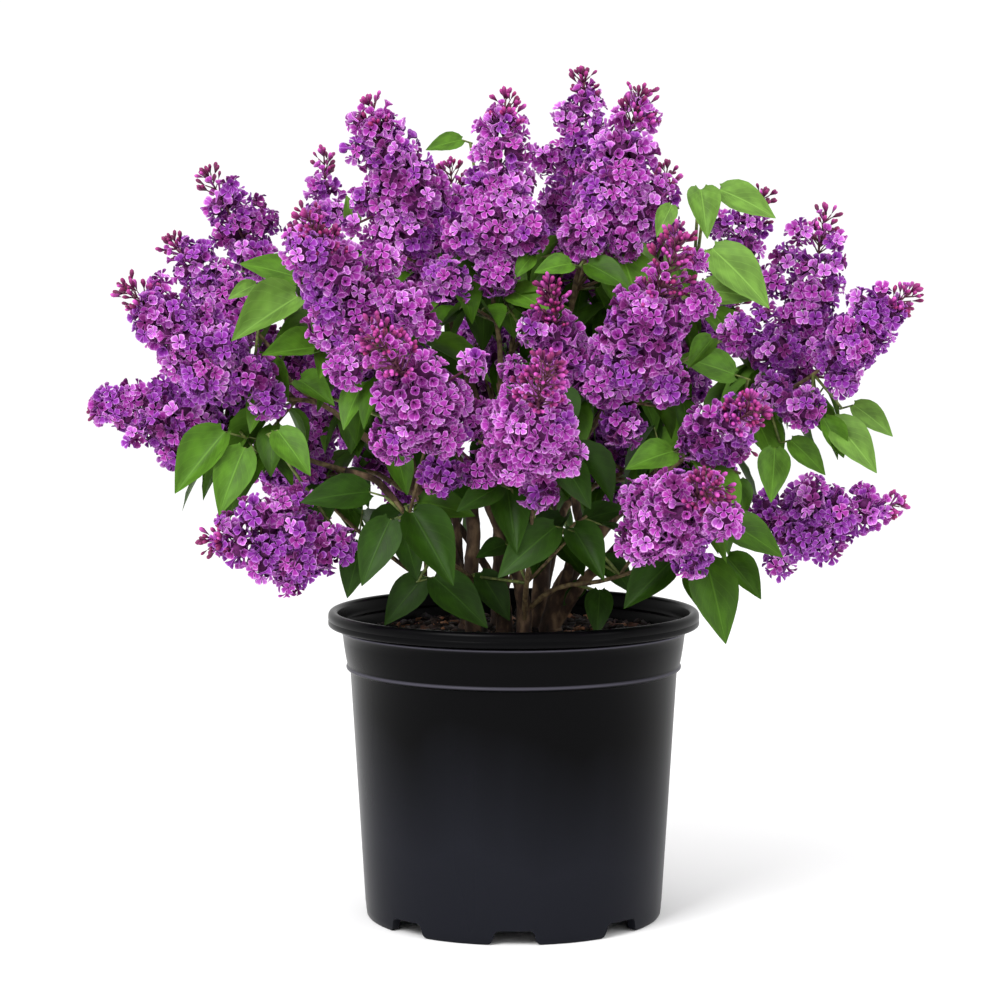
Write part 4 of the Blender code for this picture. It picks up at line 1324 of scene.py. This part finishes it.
print("the widest panicle:", round(1000 * max(row.girth for _, row in ROWS)), "mm across")

# %% Where no leaf may hang
BACK_HALF = 0.05  # from this far behind the axis, the bush is seen from outside, not from the front
HIDE_STEP = 0.014
HIDE_STEPS = 5
HIDE_MARGIN = 0.003
RIM_VIEW = 0.262  # height below which a leaf hides the rim or the stems
RIM_REACH = RIM_RADIUS * 1.15  # outside this radius that height rises, under the outer panicles
RIM_RISE = 0.5


def hides_blossom(spot):
    """Whether blossom stands close behind this spot."""
    inward = Vector((0, 1, 0)) if spot.y < BACK_HALF else Vector((-spot.x, -spot.y, 0)).normalized()
    depths = (inward * step * HIDE_STEP for step in range(1, HIDE_STEPS + 1))
    return any(in_blossom(spot + depth, HIDE_MARGIN) for depth in depths)


def over_the_rim(spot):
    return spot.z < RIM_VIEW + RIM_RISE * max(0, math.hypot(spot.x, spot.y) - RIM_REACH)


print("free of leaves below", RIM_VIEW, "m over the pot")

# %% [markdown]
# ## One leaf
#
# A lilac leaf is a heart with a long drawn-out tip, folded a little along its midrib and arched so that
# the tip hangs. It starts as a flat grid. Each row of the grid is picked in turn, narrowed or widened to
# the leaf's outline, and lifted or lowered. Four dozen faces are enough, because the veins come from the
# finish.

# %% The leaf template
LEAF_ROWS = 12
LEAF_FOLD = 0.16
LEAF_ARCH = 0.20
ROWS_TO_BASE = 1.4  # rows stand closer together near the rounded base
HEART_LOBE = 0.05  # how far the base's lobes reach back past the stalk
LOBE_END = 0.25
LEAF_WAVE = 0.006  # of the leaf's edge, up and down in turn
IN_ROW = 0.01
INNER_CUP = 0.45  # how much of the cup the points half way out get


def shape_row(obj, share, spot, half_width, rise, cup):
    """Moves one row of a flat grid to its place, width and height, with its outer points lifted by cup."""
    for least, most, lift in ((0.3, 1, cup), (0.2, 0.3, cup * INNER_CUP)):
        pick(obj, lambda co: abs(co.y - share) < IN_ROW and least < abs(co.x) < most)
        bpy.ops.transform.translate(value=(0, 0, lift))
    pick(obj, lambda co: abs(co.y - share) < IN_ROW)
    bpy.ops.transform.resize(value=(2 * half_width, 1, 1), center_override=(0, share, 0))
    bpy.ops.transform.translate(value=(0, spot - share, rise))


def leaf_outline(share):
    """Half of a leaf's width this share of the way along its blade, for a blade of length 1."""
    widest = LEAF_WIDTH / LEAF_LENGTH / 2
    if share == 0:
        return widest * 0.30
    return widest * max(0.02, math.sin(math.pi * share**0.68) ** 0.8 * (1 - 0.25 * share**4))


def leaf_template(fold, arch):
    """A leaf folded along its midrib and arched down towards its tip by these shares of its length."""
    deselect()
    bpy.ops.mesh.primitive_grid_add(x_subdivisions=4, y_subdivisions=LEAF_ROWS, size=1, location=(0, 0.5, 0))
    leaf = bpy.context.object
    bpy.ops.object.transform_apply()
    bpy.ops.object.mode_set(mode="EDIT")
    for index in range(LEAF_ROWS + 1):
        share = index / LEAF_ROWS
        spot = share**ROWS_TO_BASE
        width = leaf_outline(spot)
        wave = LEAF_WAVE * (-1) ** index * (0 < share < 1)
        shape_row(leaf, share, spot, width, -arch * spot**2, fold * width * 2 + wave)
        if spot < LOBE_END:
            pick(leaf, lambda co: abs(co.y - spot) < 0.005 and abs(co.x) > 0.05)
            bpy.ops.transform.translate(value=(0, -HEART_LOBE * (1 - spot / LOBE_END), 0))
    bpy.ops.object.mode_set(mode="OBJECT")
    return template_of(leaf)


LEAVES = [leaf_template(LEAF_FOLD, LEAF_ARCH), leaf_template(LEAF_FOLD * 3, LEAF_ARCH * 0.4)]
print("leaf template:", len(LEAVES[0][1]), "faces")

# %% Leaf greens
# Greens from dark to light, dealt out by leaf_tint as painted shade and painted light
LEAF_TONES = [(36, 64, 10), (54, 88, 14), (76, 116, 30), (98, 135, 54), (118, 148, 76)]
VEIN_SLANT = -0.9
VEIN_WAVES = 44.0  # seven side veins along the blade


def off_middle(tree, on_copy):
    """How far off a copy's middle line, and how far along it."""
    split = node(tree, "SeparateXYZ", {"Vector": on_copy})
    beside = sum_of(tree, "SUBTRACT", split.outputs["X"], 0.5)
    return sum_of(tree, "ABSOLUTE", beside), split.outputs["Y"]


def leaf_finish(number, colour):
    """Green with paler veins that curve towards the tip, and a slight gloss."""
    made, tree, shader = finish_of(f"leaf green {number}", tone(*colour), 0.48, 0.14)
    on_leaf = node(tree, "UVMap", uv_map="UVMap").outputs["UV"]
    across, along_leaf = off_middle(tree, on_leaf)
    clouded = noise(tree, on_leaf, 3.0, 2.0)
    body = ramp(tree, clouded, (0.35, shaded(colour, 0.84)), (0.65, shaded(colour, 1.08)))
    slant = sum_of(tree, "MULTIPLY_ADD", across, VEIN_SLANT, along_leaf)
    waves = sum_of(tree, "SINE", sum_of(tree, "MULTIPLY", slant, VEIN_WAVES))
    side_veins = ramp(tree, waves, (0.90, grey(0)), (1.0, grey(0.30)))
    midrib = ramp(tree, across, (0.008, grey(1)), (0.028, grey(0)))
    veins = mixed(tree, 1.0, side_veins, midrib, "LIGHTEN")
    tree.links.new(mixed(tree, veins, body, shaded(colour, 1.10, 8)), shader.inputs["Base Color"])
    bump(tree, shader, veins, 0.25, 0.0006)
    return made


leaf_finishes = [leaf_finish(number + 1, colour) for number, colour in enumerate(LEAF_TONES)]
print("greens:", len(leaf_finishes))

# %% Room for a leaf
CLEAR_ROUND = 0.026  # of a leaf that stands out, where no other leaf crosses in front of it
CLEAR_BEHIND = 0.01
IN_FLORETS = 0.004  # how deep a leaf may reach into blossom
IN_FLORETS_SHOWING = 0.010


def crosses(middle, standing):
    """Whether a leaf with this middle would cross in front of one that stands out."""
    for other in standing:
        near = math.hypot(middle.x - other.x, middle.z - other.z) < CLEAR_ROUND
        if near and middle.y < other.y + CLEAR_BEHIND:
            return True
    return False


def has_room(spots, middle, showing, standing):
    """Whether a leaf with these points is clear of blossom and hides nothing that the photo shows."""
    margin = IN_FLORETS_SHOWING if showing else IN_FLORETS
    if any(in_blossom(spot, margin) for spot in spots):
        return False
    if showing:
        return True
    hides = any(map(over_the_rim, spots)) or any(map(hides_blossom, spots))
    return not (hides or crosses(middle, standing))


def leaf_matrix(start, blade, side, length):
    normal = side.cross(blade).normalized()
    side = blade.cross(normal)
    turn = Matrix((side, blade, normal)).transposed().to_4x4()
    return Matrix.Translation(start) @ turn @ Matrix.Scale(length, 4)


def leaf_tint(start, rng):
    """Painted shade and light: darker greens low down and deep inside, lighter at the top and outside."""
    out = math.hypot(start.x, start.y)
    light = (start.z - 0.33) * 10 + max(0, out - 0.10) * 16 + rng.uniform(-0.75, 0.75)
    return max(0, min(len(LEAF_TONES) - 1, round(light)))


print("the lowest leaf's green:", LEAF_TONES[leaf_tint(Vector(), random.Random(0))])

# %% Set out the leaves
PETIOLE_RADIUS = 0.0008
SECOND_SHAPE = 0.3  # the share of leaves that are folded more


def set_out_leaves(sprays, chosen_sprays):
    """(matrix, tint) of each leaf that has room, for both shapes, and the lines of stalks and shoots."""
    rng = random.Random(SEED + 2)
    copies, stalks, shoots, standing = [[], []], [], [], []
    for number, (twig, leaves) in enumerate(chosen_sprays + sprays):
        kept = 0
        showing = number < len(chosen_sprays)
        for root, way, side, hang, length in leaves:
            flat = Vector((way.x, way.y, 0)).normalized()
            blade = flat * math.cos(hang) - UP * math.sin(hang)
            start = root + way * PETIOLE * length / LEAF_LENGTH
            spots = [start + blade * length * 0.3 + side * length * turn for turn in (-0.3, 0, 0.3)]
            spots += [start, start + blade * length * 0.65, start + blade * length]
            middle = start + blade * length * 0.5
            if not has_room(spots, middle, showing, standing):
                continue
            kept += 1
            if showing:
                standing.append(middle)
            copy = (leaf_matrix(start, blade, side, length), leaf_tint(start, rng))
            copies[rng.random() < SECOND_SHAPE].append(copy)
            stalks.append(tapered([root, start], PETIOLE_RADIUS, PETIOLE_RADIUS * 0.8))
        if twig and kept:
            (stalks if showing else shoots).append(twig)
    return copies, stalks, shoots


leaf_copies, leaf_stalks, shoots = set_out_leaves(sprays, chosen_sprays)
foliage_nodes = [f"foliage_{name}" for name in masses]


def set_piece(name, template, copies, finishes, slot):
    """One piece of many (matrix, tint) copies, which stands for the masses of the frame."""
    matrices, tints = zip(*copies)
    return ready(strewn(name, template, matrices, tints, finishes), slot, *foliage_nodes)


for shape, template in enumerate(LEAVES):
    set_piece(f"leaves_{shape + 1}", template, leaf_copies[shape], leaf_finishes, "foliage")
print("leaves:", sum(len(copies) for copies in leaf_copies))

# %% Twigs and leaf stalks
TWIG_PARTS = 3
STALK_SPOTS = 260.0


def stalk_finish(name, dark, light, roughness):
    """A young skin, spotted with a second colour."""
    made, tree, shader = finish_of(name, dark, roughness, 0.3)
    spots = noise(tree, place_node(tree), STALK_SPOTS, 4.0)
    tree.links.new(ramp(tree, spots, (0.35, dark), (0.68, light)), shader.inputs["Base Color"])
    bump(tree, shader, spots, 0.3, 0.0004)
    return made


twig_bark = stalk_finish("young bark", tone(64, 48, 34), tone(120, 104, 70), 0.7)
green_stalk = stalk_finish("leaf stalk", tone(70, 84, 40), tone(120, 132, 66), 0.55)
twigs = piped("twigs", [smoothed(*line, TWIG_PARTS) for line in twig_lines] + shoots, 1)
twigs.data.materials.append(twig_bark)
ready(twigs, "bark")
stalks = piped("leaf_stalks", leaf_stalks, 0)
stalks.data.materials.append(green_stalk)
ready(stalks, "foliage")

# %% [markdown]
# ## One floret and one bud
#
# A lilac floret is a slim tube that opens into four cupped petals. One petal is shaped row by row from a
# small grid, like the leaf. The spin operator then makes the other three round the tube's axis, their
# corners are merged, and the square mouth in the middle is extruded down into the tube. Four forms come
# from it: flat, cupped, ruffled and half open. A bud is the same flower still shut: a small sphere drawn
# out into a club.

# %% The floret template
MOUTH = 0.0009
PETAL_ROWS = [  # distance from the tube's axis, half width, rise, cup
    (MOUTH, MOUTH, 0.0000, 0.0000), (0.0023, 0.0015, 0.0002, 0.0004), (0.0040, 0.0026, 0.0003, 0.0011),
    (0.0056, 0.0028, 0.0000, 0.0015), (0.0068, 0.0014, 0.0003, 0.0006),
]
CORNER_MERGE = 0.00005
TUBE_LENGTH = 0.0070
TUBE_TAPER = 0.7


def floret_template(lift, crumple):
    """A floret whose petals are lifted by this angle off flat, and knocked out of true by this much."""
    deselect()
    steps = len(PETAL_ROWS) - 1
    bpy.ops.mesh.primitive_grid_add(x_subdivisions=2, y_subdivisions=steps, size=1, location=(0, 0.5, 0))
    floret = bpy.context.object
    bpy.ops.object.transform_apply()
    bpy.ops.object.mode_set(mode="EDIT")
    for index, (out, half_width, rise, cup) in enumerate(PETAL_ROWS):
        shape_row(floret, index / steps, out, half_width, rise, cup)
    bpy.ops.mesh.select_all(action="SELECT")
    bpy.ops.transform.rotate(value=-lift, orient_axis="X", center_override=(0, MOUTH, 0))
    bpy.ops.mesh.spin(steps=3, dupli=True, angle=math.pi * 1.5, center=(0, 0, 0), axis=(0, 0, 1))
    bpy.ops.mesh.select_all(action="SELECT")
    bpy.ops.mesh.remove_doubles(threshold=CORNER_MERGE)
    pick(floret, lambda co: max(abs(co.x), abs(co.y)) < MOUTH * 1.05)
    bpy.ops.mesh.extrude_edges_move(TRANSFORM_OT_translate={"value": (0, 0, -TUBE_LENGTH)})
    bpy.ops.transform.resize(value=(TUBE_TAPER, TUBE_TAPER, 1), center_override=(0, 0, -TUBE_LENGTH))
    pick(floret, lambda co: math.hypot(co.x, co.y) > MOUTH * 1.6)
    bpy.ops.transform.vertex_random(offset=crumple, seed=1)
    bpy.ops.object.mode_set(mode="OBJECT")
    return template_of(floret)


FLORETS = {  # piece name and template
    "flat_florets": floret_template(0.04, 0.0005),
    "cupped_florets": floret_template(0.42, 0.0006),
    "ruffled_florets": floret_template(-0.15, 0.0010),
    "half_open_florets": floret_template(0.85, 0.0003),
}
print("floret:", len(FLORETS["flat_florets"][1]), "faces")

# %% The bud template
BUD_RINGS = [(0.0000, 0.0004), (0.0038, 0.0009), (0.0066, 0.0017), (0.0086, 0.0014), (0.0098, 0.0000)]
ASIDE = 2  # how far the finished rings wait above the sphere, out of the next ring's way


def bud_template():
    """A sphere whose rings are moved one by one to the club's (height, radius)."""
    deselect()
    rings = len(BUD_RINGS) - 1
    bpy.ops.mesh.primitive_uv_sphere_add(segments=6, ring_count=rings, radius=1)
    bud = bpy.context.object
    bpy.ops.object.mode_set(mode="EDIT")
    for index, (height, radius) in enumerate(BUD_RINGS):
        level = -math.cos(math.pi * index / rings)
        size = radius / max(0.001, math.sqrt(1 - level * level))
        pick(bud, lambda co: abs(co.z - level) < 0.02)
        bpy.ops.transform.resize(value=(size, size, 1), center_override=(0, 0, level))
        bpy.ops.transform.translate(value=(0, 0, ASIDE + height - level))
    bpy.ops.mesh.select_all(action="SELECT")
    bpy.ops.transform.translate(value=(0, 0, -ASIDE))
    bpy.ops.object.mode_set(mode="OBJECT")
    return template_of(bud)


BUD = bud_template()
print("bud:", len(BUD[1]), "faces")

# %% Lilac colours
FLORET_TONES = [  # body, rim paler as painted light: violet, purple, lilac, pale lilac, orchid, shaded purple
    ((130, 42, 148), (184, 118, 202)), ((146, 44, 146), (200, 130, 206)), ((162, 56, 160), (214, 146, 218)),
    ((182, 90, 190), (234, 182, 238)), ((158, 50, 152), (212, 138, 212)), ((100, 20, 92), (152, 70, 144)),
]
BUD_TONES = [(108, 20, 76), (134, 34, 104), (164, 58, 144), (128, 26, 84)]
PAINTED_THROAT_SHADE = (0.62, 0.4, 0.6)  # share of the body's colour kept in the throat's painted shade
PETAL_SHEEN = 0.08


def petal_finish(number, body, rim):
    """Painted shade deep at the throat, painted light paler along the petal's curled rim."""
    made, tree, shader = finish_of(f"lilac petal {number}", tone(*body), 0.6, 0.10)
    across, along_petal = off_middle(tree, node(tree, "UVMap", uv_map="UVMap").outputs["UV"])
    edge = sum_of(tree, "MAXIMUM", sum_of(tree, "MULTIPLY", across, 2.0), along_petal)
    throat = tone(*(value * share for value, share in zip(body, PAINTED_THROAT_SHADE)))
    petal = tone(*body)
    # Painted shade at the throat, painted light along the rim
    colour = ramp(tree, edge, (0.05, throat), (0.35, petal), (0.66, petal), (1.0, tone(*rim)))
    tree.links.new(colour, shader.inputs["Base Color"])
    shader.inputs["Sheen Weight"].default_value = PETAL_SHEEN
    return made


def bud_finish(number, colour):
    """Painted shade at the foot, a painted highlight at the tip."""
    made, tree, shader = finish_of(f"lilac bud {number}", tone(*colour), 0.5, 0.3)
    along_bud = off_middle(tree, node(tree, "UVMap", uv_map="UVMap").outputs["UV"])[1]
    # Painted shade towards the foot, painted highlight towards the tip
    stops = (0.1, shaded(colour, 0.55)), (0.6, tone(*colour)), (0.95, shaded(colour, 1.2, 12))
    tree.links.new(ramp(tree, along_bud, *stops), shader.inputs["Base Color"])
    return made


petal_finishes = [petal_finish(number + 1, *tones) for number, tones in enumerate(FLORET_TONES)]
bud_finishes = [bud_finish(number + 1, colour) for number, colour in enumerate(BUD_TONES)]
print("lilac tints:", len(petal_finishes), "and", len(bud_finishes), "for buds")

# %% [markdown]
# ## Setting out the blossom
#
# A panicle isn't one smooth cone. Side branches leave its stalk in fours, each quarter-turned set above
# the last, and each carries a rounded cluster of florets, so the cone is lumpy with dark clefts. We give
# each cluster a ball, spread its florets evenly over the ball's outer side, and skip those that would sit
# inside the next ball. Towards the tip the florets give way to half-open ones, and then to buds on fine
# stalks.

# %% The clusters of a panicle
TIER_STEP = 0.0200
TIER_LEAST = 4
SIDE_CLUSTERS = 4  # round the foot of a panicle that the table doesn't name

Ball = namedtuple("Ball", "centre way size share")


def balls_of(row, last, rng):
    """The rounded clusters of a panicle, up to this share of its length."""
    axis, foot = panicle_axis(row), panicle_foot(row)
    tiers = max(TIER_LEAST, round(row.length / TIER_STEP))
    balls = []
    for tier in range(tiers):
        share = (tier + 0.6) / tiers
        if share > last:
            break
        radius = panicle_radius(row, share)
        for quarter in range(4):
            out = sideways(axis, (quarter + tier / 2) * math.pi / 2 + rng.uniform(-0.25, 0.25))
            size = radius * rng.uniform(0.42, 0.56)
            up = row.length * (share + rng.uniform(-0.012, 0.012))
            centre = foot + axis * up + out * (radius - size)
            balls.append(Ball(centre, (out + axis * 0.4).normalized(), size, share))
    return balls


def foot_balls(row, rng):
    """Clusters spread evenly round the foot of a panicle."""
    axis, foot = panicle_axis(row), panicle_foot(row)
    for quarter in range(SIDE_CLUSTERS):
        out = sideways(axis, quarter * 2 * math.pi / SIDE_CLUSTERS + rng.uniform(-0.4, 0.4))
        size = row.girth / 2 * rng.uniform(0.36, 0.46)
        centre = foot + axis * row.length * rng.uniform(0.05, 0.22)
        centre += out * row.girth / 2 * rng.uniform(0.75, 0.95)
        yield Ball(centre, (out - axis * 0.2).normalized(), size, 0)


def side_balls(name, row, rng):
    """The clusters that spread sideways from the foot of a panicle: the table's, or a ring of them."""
    if name not in CLUSTERS:
        return list(foot_balls(row, rng))
    balls = []
    for centre, size in CLUSTER_BALLS[name]:
        if row is min(PANICLES[name], key=lambda other: (nearest_on(other, centre) - centre).length):
            outward = centre - nearest_on(row, centre) - panicle_axis(row) * 0.005
            balls.append(Ball(centre, outward.normalized(), size, 0))
    return balls


print("clusters of the tallest:", len(balls_of(PANICLES["top_right"][0], 0.8, random.Random(0))))

# %% Florets round a cluster
FLORET_AREA = 0.000080
FLORET_SIZES = (0.78, 1.05)
FLORET_KINDS = ("flat_florets", "cupped_florets", "cupped_florets", "ruffled_florets")
FEWEST = 7  # florets round a cluster
HALF_OPEN = 0.20  # the share of a panicle below its buds where florets are half open
CORE_SHARE = 0.78  # of a cluster's ball, the part where its stalks and tubes crowd together
CORE_GAP = 0.0015
CROWDED = 0.84  # of the next cluster's ball, the part where no floret fits
JITTER = 0.42
GOLDEN = math.pi * (3 - math.sqrt(5))


def around_ball(ball, rng):
    """Directions spread evenly over the outer side of a ball."""
    count = max(FEWEST, round(4 * math.pi * ball.size**2 / FLORET_AREA))
    turn = ball.way.to_track_quat("Z", "Y")
    phase = rng.uniform(0, 2 * math.pi)
    for index in range(count):
        level = 1 - 2 * (index + 0.5) / count
        if level < (-0.45 if ball.share else -0.8):
            break
        flat = math.sqrt(1 - level * level)
        angle = phase + index * GOLDEN
        yield turn @ Vector((flat * math.cos(angle), flat * math.sin(angle), level))


def dress_ball(ball, balls, hue, odd, last, rng, made):
    """A cluster's heart and its florets, without those that would sit inside the next cluster."""
    if ball.size * CORE_SHARE > CORE_GAP * 2:
        heart = stand(ball.centre, ball.way, 0, ball.size * CORE_SHARE - CORE_GAP)
        made["cores"].append((heart, 0))
    shade = hue + rng.gauss(0, 0.7)
    others = [other for other in balls if other is not ball]
    for way in around_ball(ball, rng):
        spot = ball.centre + way * ball.size * rng.uniform(0.86, 1.04)
        if any((spot - other.centre).length < other.size * CROWDED for other in others):
            continue
        jitter = Vector((rng.gauss(0, JITTER), rng.gauss(0, JITTER), rng.gauss(0, JITTER)))
        facing = (way + jitter + ball.way * 0.15).normalized()
        shut = ball.share > last - HALF_OPEN and rng.random() < 0.6 or rng.random() < 0.06
        kind = "half_open_florets" if shut else rng.choice(FLORET_KINDS)
        size = rng.uniform(*FLORET_SIZES)
        tint = max(0, min(2, round(shade + rng.gauss(0, 0.4))))
        if rng.random() < odd:
            tint = rng.choice((3, 3, 3, 4, 5))
        made[kind].append((stand(spot, facing, rng.uniform(0, 2 * math.pi), size), tint))


print("florets: one to every", round(FLORET_AREA * 1e6), "square millimetres of a cluster")

# %% Buds at the tip
OPENING = 0.5  # of the bud sprays nearest the open florets, the share whose first flower opens
BUD_FANS = ((0, -0.8, 0.8), (0, -0.75, 0.75, -1.5, 1.5), (-0.5, 0.5))
BUD_PAIRS = ((0,), (-0.7, 0.7), (0, 0.9))
FEW_BUDS = 0.86  # of a panicle, from here to its tip the buds stand apart on longer stalks
BUDS_END = 0.97
BUD_STEP = (0.0052, 0.0070)
BUD_TURN = 0.9  # from one tier of buds to the next
BUD_SIZES = (0.7, 1.1)
BUD_STALK = (0.0006, 0.0005)
LEAST_STALKS = (0.004, 0.007)  # below FEW_BUDS and above it
TOP_BUDS = 4


def bud_fan(tip, way, out, axis, fan, tint, rng, made):
    """Buds side by side at a stalk's tip, leaning by the numbers of the fan."""
    fan_side = way.cross(axis).normalized()
    for lean in fan:
        facing = way + fan_side * lean * 0.8 + axis * 0.25 + out * rng.uniform(-0.2, 0.5)
        bud_tint = max(0, min(3, tint + rng.choice((0, 0, 1, -1, 2))))
        size = rng.uniform(*BUD_SIZES)
        spot = tip - way * 0.001 * abs(lean)
        made["buds"].append((stand(spot, facing.normalized(), rng.uniform(0, 6), size), bud_tint))


def add_buds(row, first, rng, made):
    """Tiers of buds from this share of the panicle to its tip, and a tuft at the very top."""
    axis, foot = panicle_axis(row), panicle_foot(row)
    side, other = frame_of(axis)
    phase = rng.uniform(0, math.pi)
    share, tier = first - 0.03, 0
    tint = rng.randrange(2)
    while share < BUDS_END:
        radius = panicle_radius(row, share)
        around = 3 + int(radius / 0.008)
        root = foot + axis * (row.length * share - 0.005)
        least = LEAST_STALKS[share >= FEW_BUDS]
        for place_round in range(around):
            stray = rng.uniform(-0.3, 0.3)
            out = sideways(axis, phase + tier * BUD_TURN + place_round * 2 * math.pi / around + stray)
            way = (out + axis * rng.uniform(0.7, 1.3)).normalized()
            tip = root + way * max(least, radius * rng.uniform(0.7, 1.15) - 0.002)
            made["stalks"].append(tapered([root, tip], *BUD_STALK))
            if rng.random() < OPENING * (1 - share) / (1 - first):
                opened = stand(tip, way, rng.uniform(0, 6), rng.uniform(0.6, 0.9))
                made["half_open_florets"].append((opened, 4))
            else:
                fan = rng.choice(BUD_FANS if share < FEW_BUDS else BUD_PAIRS)
                bud_fan(tip, way, out, axis, fan, tint, rng, made)
        share += rng.uniform(*BUD_STEP) / row.length
        tier += 1
    top = foot + axis * (row.length * 0.95 - 0.002)
    for _ in range(TOP_BUDS):
        facing = axis + side * rng.uniform(-0.6, 0.6) + other * rng.uniform(-0.6, 0.6)
        made["buds"].append((stand(top, facing.normalized(), 0, rng.uniform(0.85, 1.15)), tint))


print("buds: a tier every", [round(step * 1000) for step in BUD_STEP], "mm")

# %% Dress every panicle
BUD_START = {  # the share of its length where a panicle's buds begin
    "right_front": 0.52, "far_left": 0.92, "front_left_high": 0.66, "front_left": 0.64, "front": 0.64,
    "front_right": 0.66, "centre": 0.62,
}
USUAL_BUD_START = (0.74, 0.86)
ODD_SHARE = 0.34  # of the florets, these are paler, pinker or darker than their cluster
PAINTED_LIGHT_HEIGHT = 0.40  # above this height more of them are odd, mostly pale: painted light on the top of the bush
MAIN_STALK = (0.0014, 0.0006)
SIDE_STALK = (0.0012, 0.0008)


def hue_of(row):
    """Blue violet at the far sides, orchid in the middle of the front."""
    front = -panicle_foot(row).y / 0.15
    side = abs(place(row.bearing, row.out, 0).x) / 0.30
    return 1.0 + front * 0.8 - side * 1.2


def dress_panicle(name, row, rng, made):
    """All clusters, stalks and buds of one panicle."""
    axis, foot = panicle_axis(row), panicle_foot(row)
    last = BUD_START.get(name, rng.uniform(*USUAL_BUD_START))
    # Higher panicles get more odd florets, mostly pale ones, as painted light
    odd = ODD_SHARE + max(0, foot.z - PAINTED_LIGHT_HEIGHT)
    sides = side_balls(name, row, rng)
    balls = balls_of(row, last, rng) + sides
    stalk = [foot, foot + axis * row.length * 0.5, foot + axis * row.length * 0.95]
    made["stalks"].append(tapered(stalk, *MAIN_STALK))
    for ball in sides:
        made["stalks"].append(tapered([nearest_on(row, ball.centre), ball.centre], *SIDE_STALK))
    for ball in balls:
        dress_ball(ball, balls, hue_of(row), odd, last, rng, made)
    add_buds(row, last, rng, made)


blossom = {kind: [] for kind in (*FLORETS, "buds", "stalks", "cores")}
for number, (name, row) in enumerate(ROWS):
    dress_panicle(name, row, random.Random(SEED * 100 + number), blossom)
print("blossom:", {kind: len(copies) for kind, copies in blossom.items()})

# %% Join the blossom
MOST_COPIES = 2300  # in one piece


def set_pieces(name, template, copies, finishes, slot):
    """Pieces of at most so many copies, numbered from 1."""
    for first in range(0, len(copies), MOST_COPIES):
        part = copies[first : first + MOST_COPIES]
        set_piece(f"{name}_{first // MOST_COPIES + 1}", template, part, finishes, slot)


for kind, template in FLORETS.items():
    set_pieces(kind, template, blossom[kind], petal_finishes, "blossom")
set_pieces("buds", BUD, blossom["buds"], bud_finishes, "bud")
flower_stalk = stalk_finish("flower stalk", tone(78, 28, 56), tone(104, 60, 70), 0.6)
flower_stalks = piped("flower_stalks", blossom["stalks"], 0)
flower_stalks.data.materials.append(flower_stalk)
ready(flower_stalks, "bud")

# %% The hearts of the clusters
# Dark purple: partly the crowded tubes' own colour, partly painted shade deep in the clefts
CORE_TONES = ((66, 14, 62), (98, 28, 94))
CORE_LUMPS = 0.12


def core_template():
    """A small lumpy ball for the crowd of tubes in a cluster's heart, which lets no light through."""
    deselect()
    bpy.ops.mesh.primitive_ico_sphere_add(subdivisions=2, radius=1)
    core = bpy.context.object
    edit_all()
    bpy.ops.transform.vertex_random(offset=CORE_LUMPS, seed=3)
    bpy.ops.object.mode_set(mode="OBJECT")
    return template_of(core)


core_finish = stalk_finish("crowded tubes in painted shade", tone(*CORE_TONES[0]), tone(*CORE_TONES[1]), 0.8)
hearts, tints = zip(*blossom["cores"])
ready(strewn("cluster_hearts", core_template(), hearts, tints, [core_finish]), "blossom")

# %% [markdown]
# ## Measure
#
# The bush must not have grown far past the frame's box. Both boxes are printed, so that they can be
# compared.

# %% Sizes
visual_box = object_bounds()
for corner, kit in (("low", 0), ("high", 1)):
    print(corner, [round(v, 4) for v in cad_box[kit]], [round(v, 4) for v in visual_box[kit]])
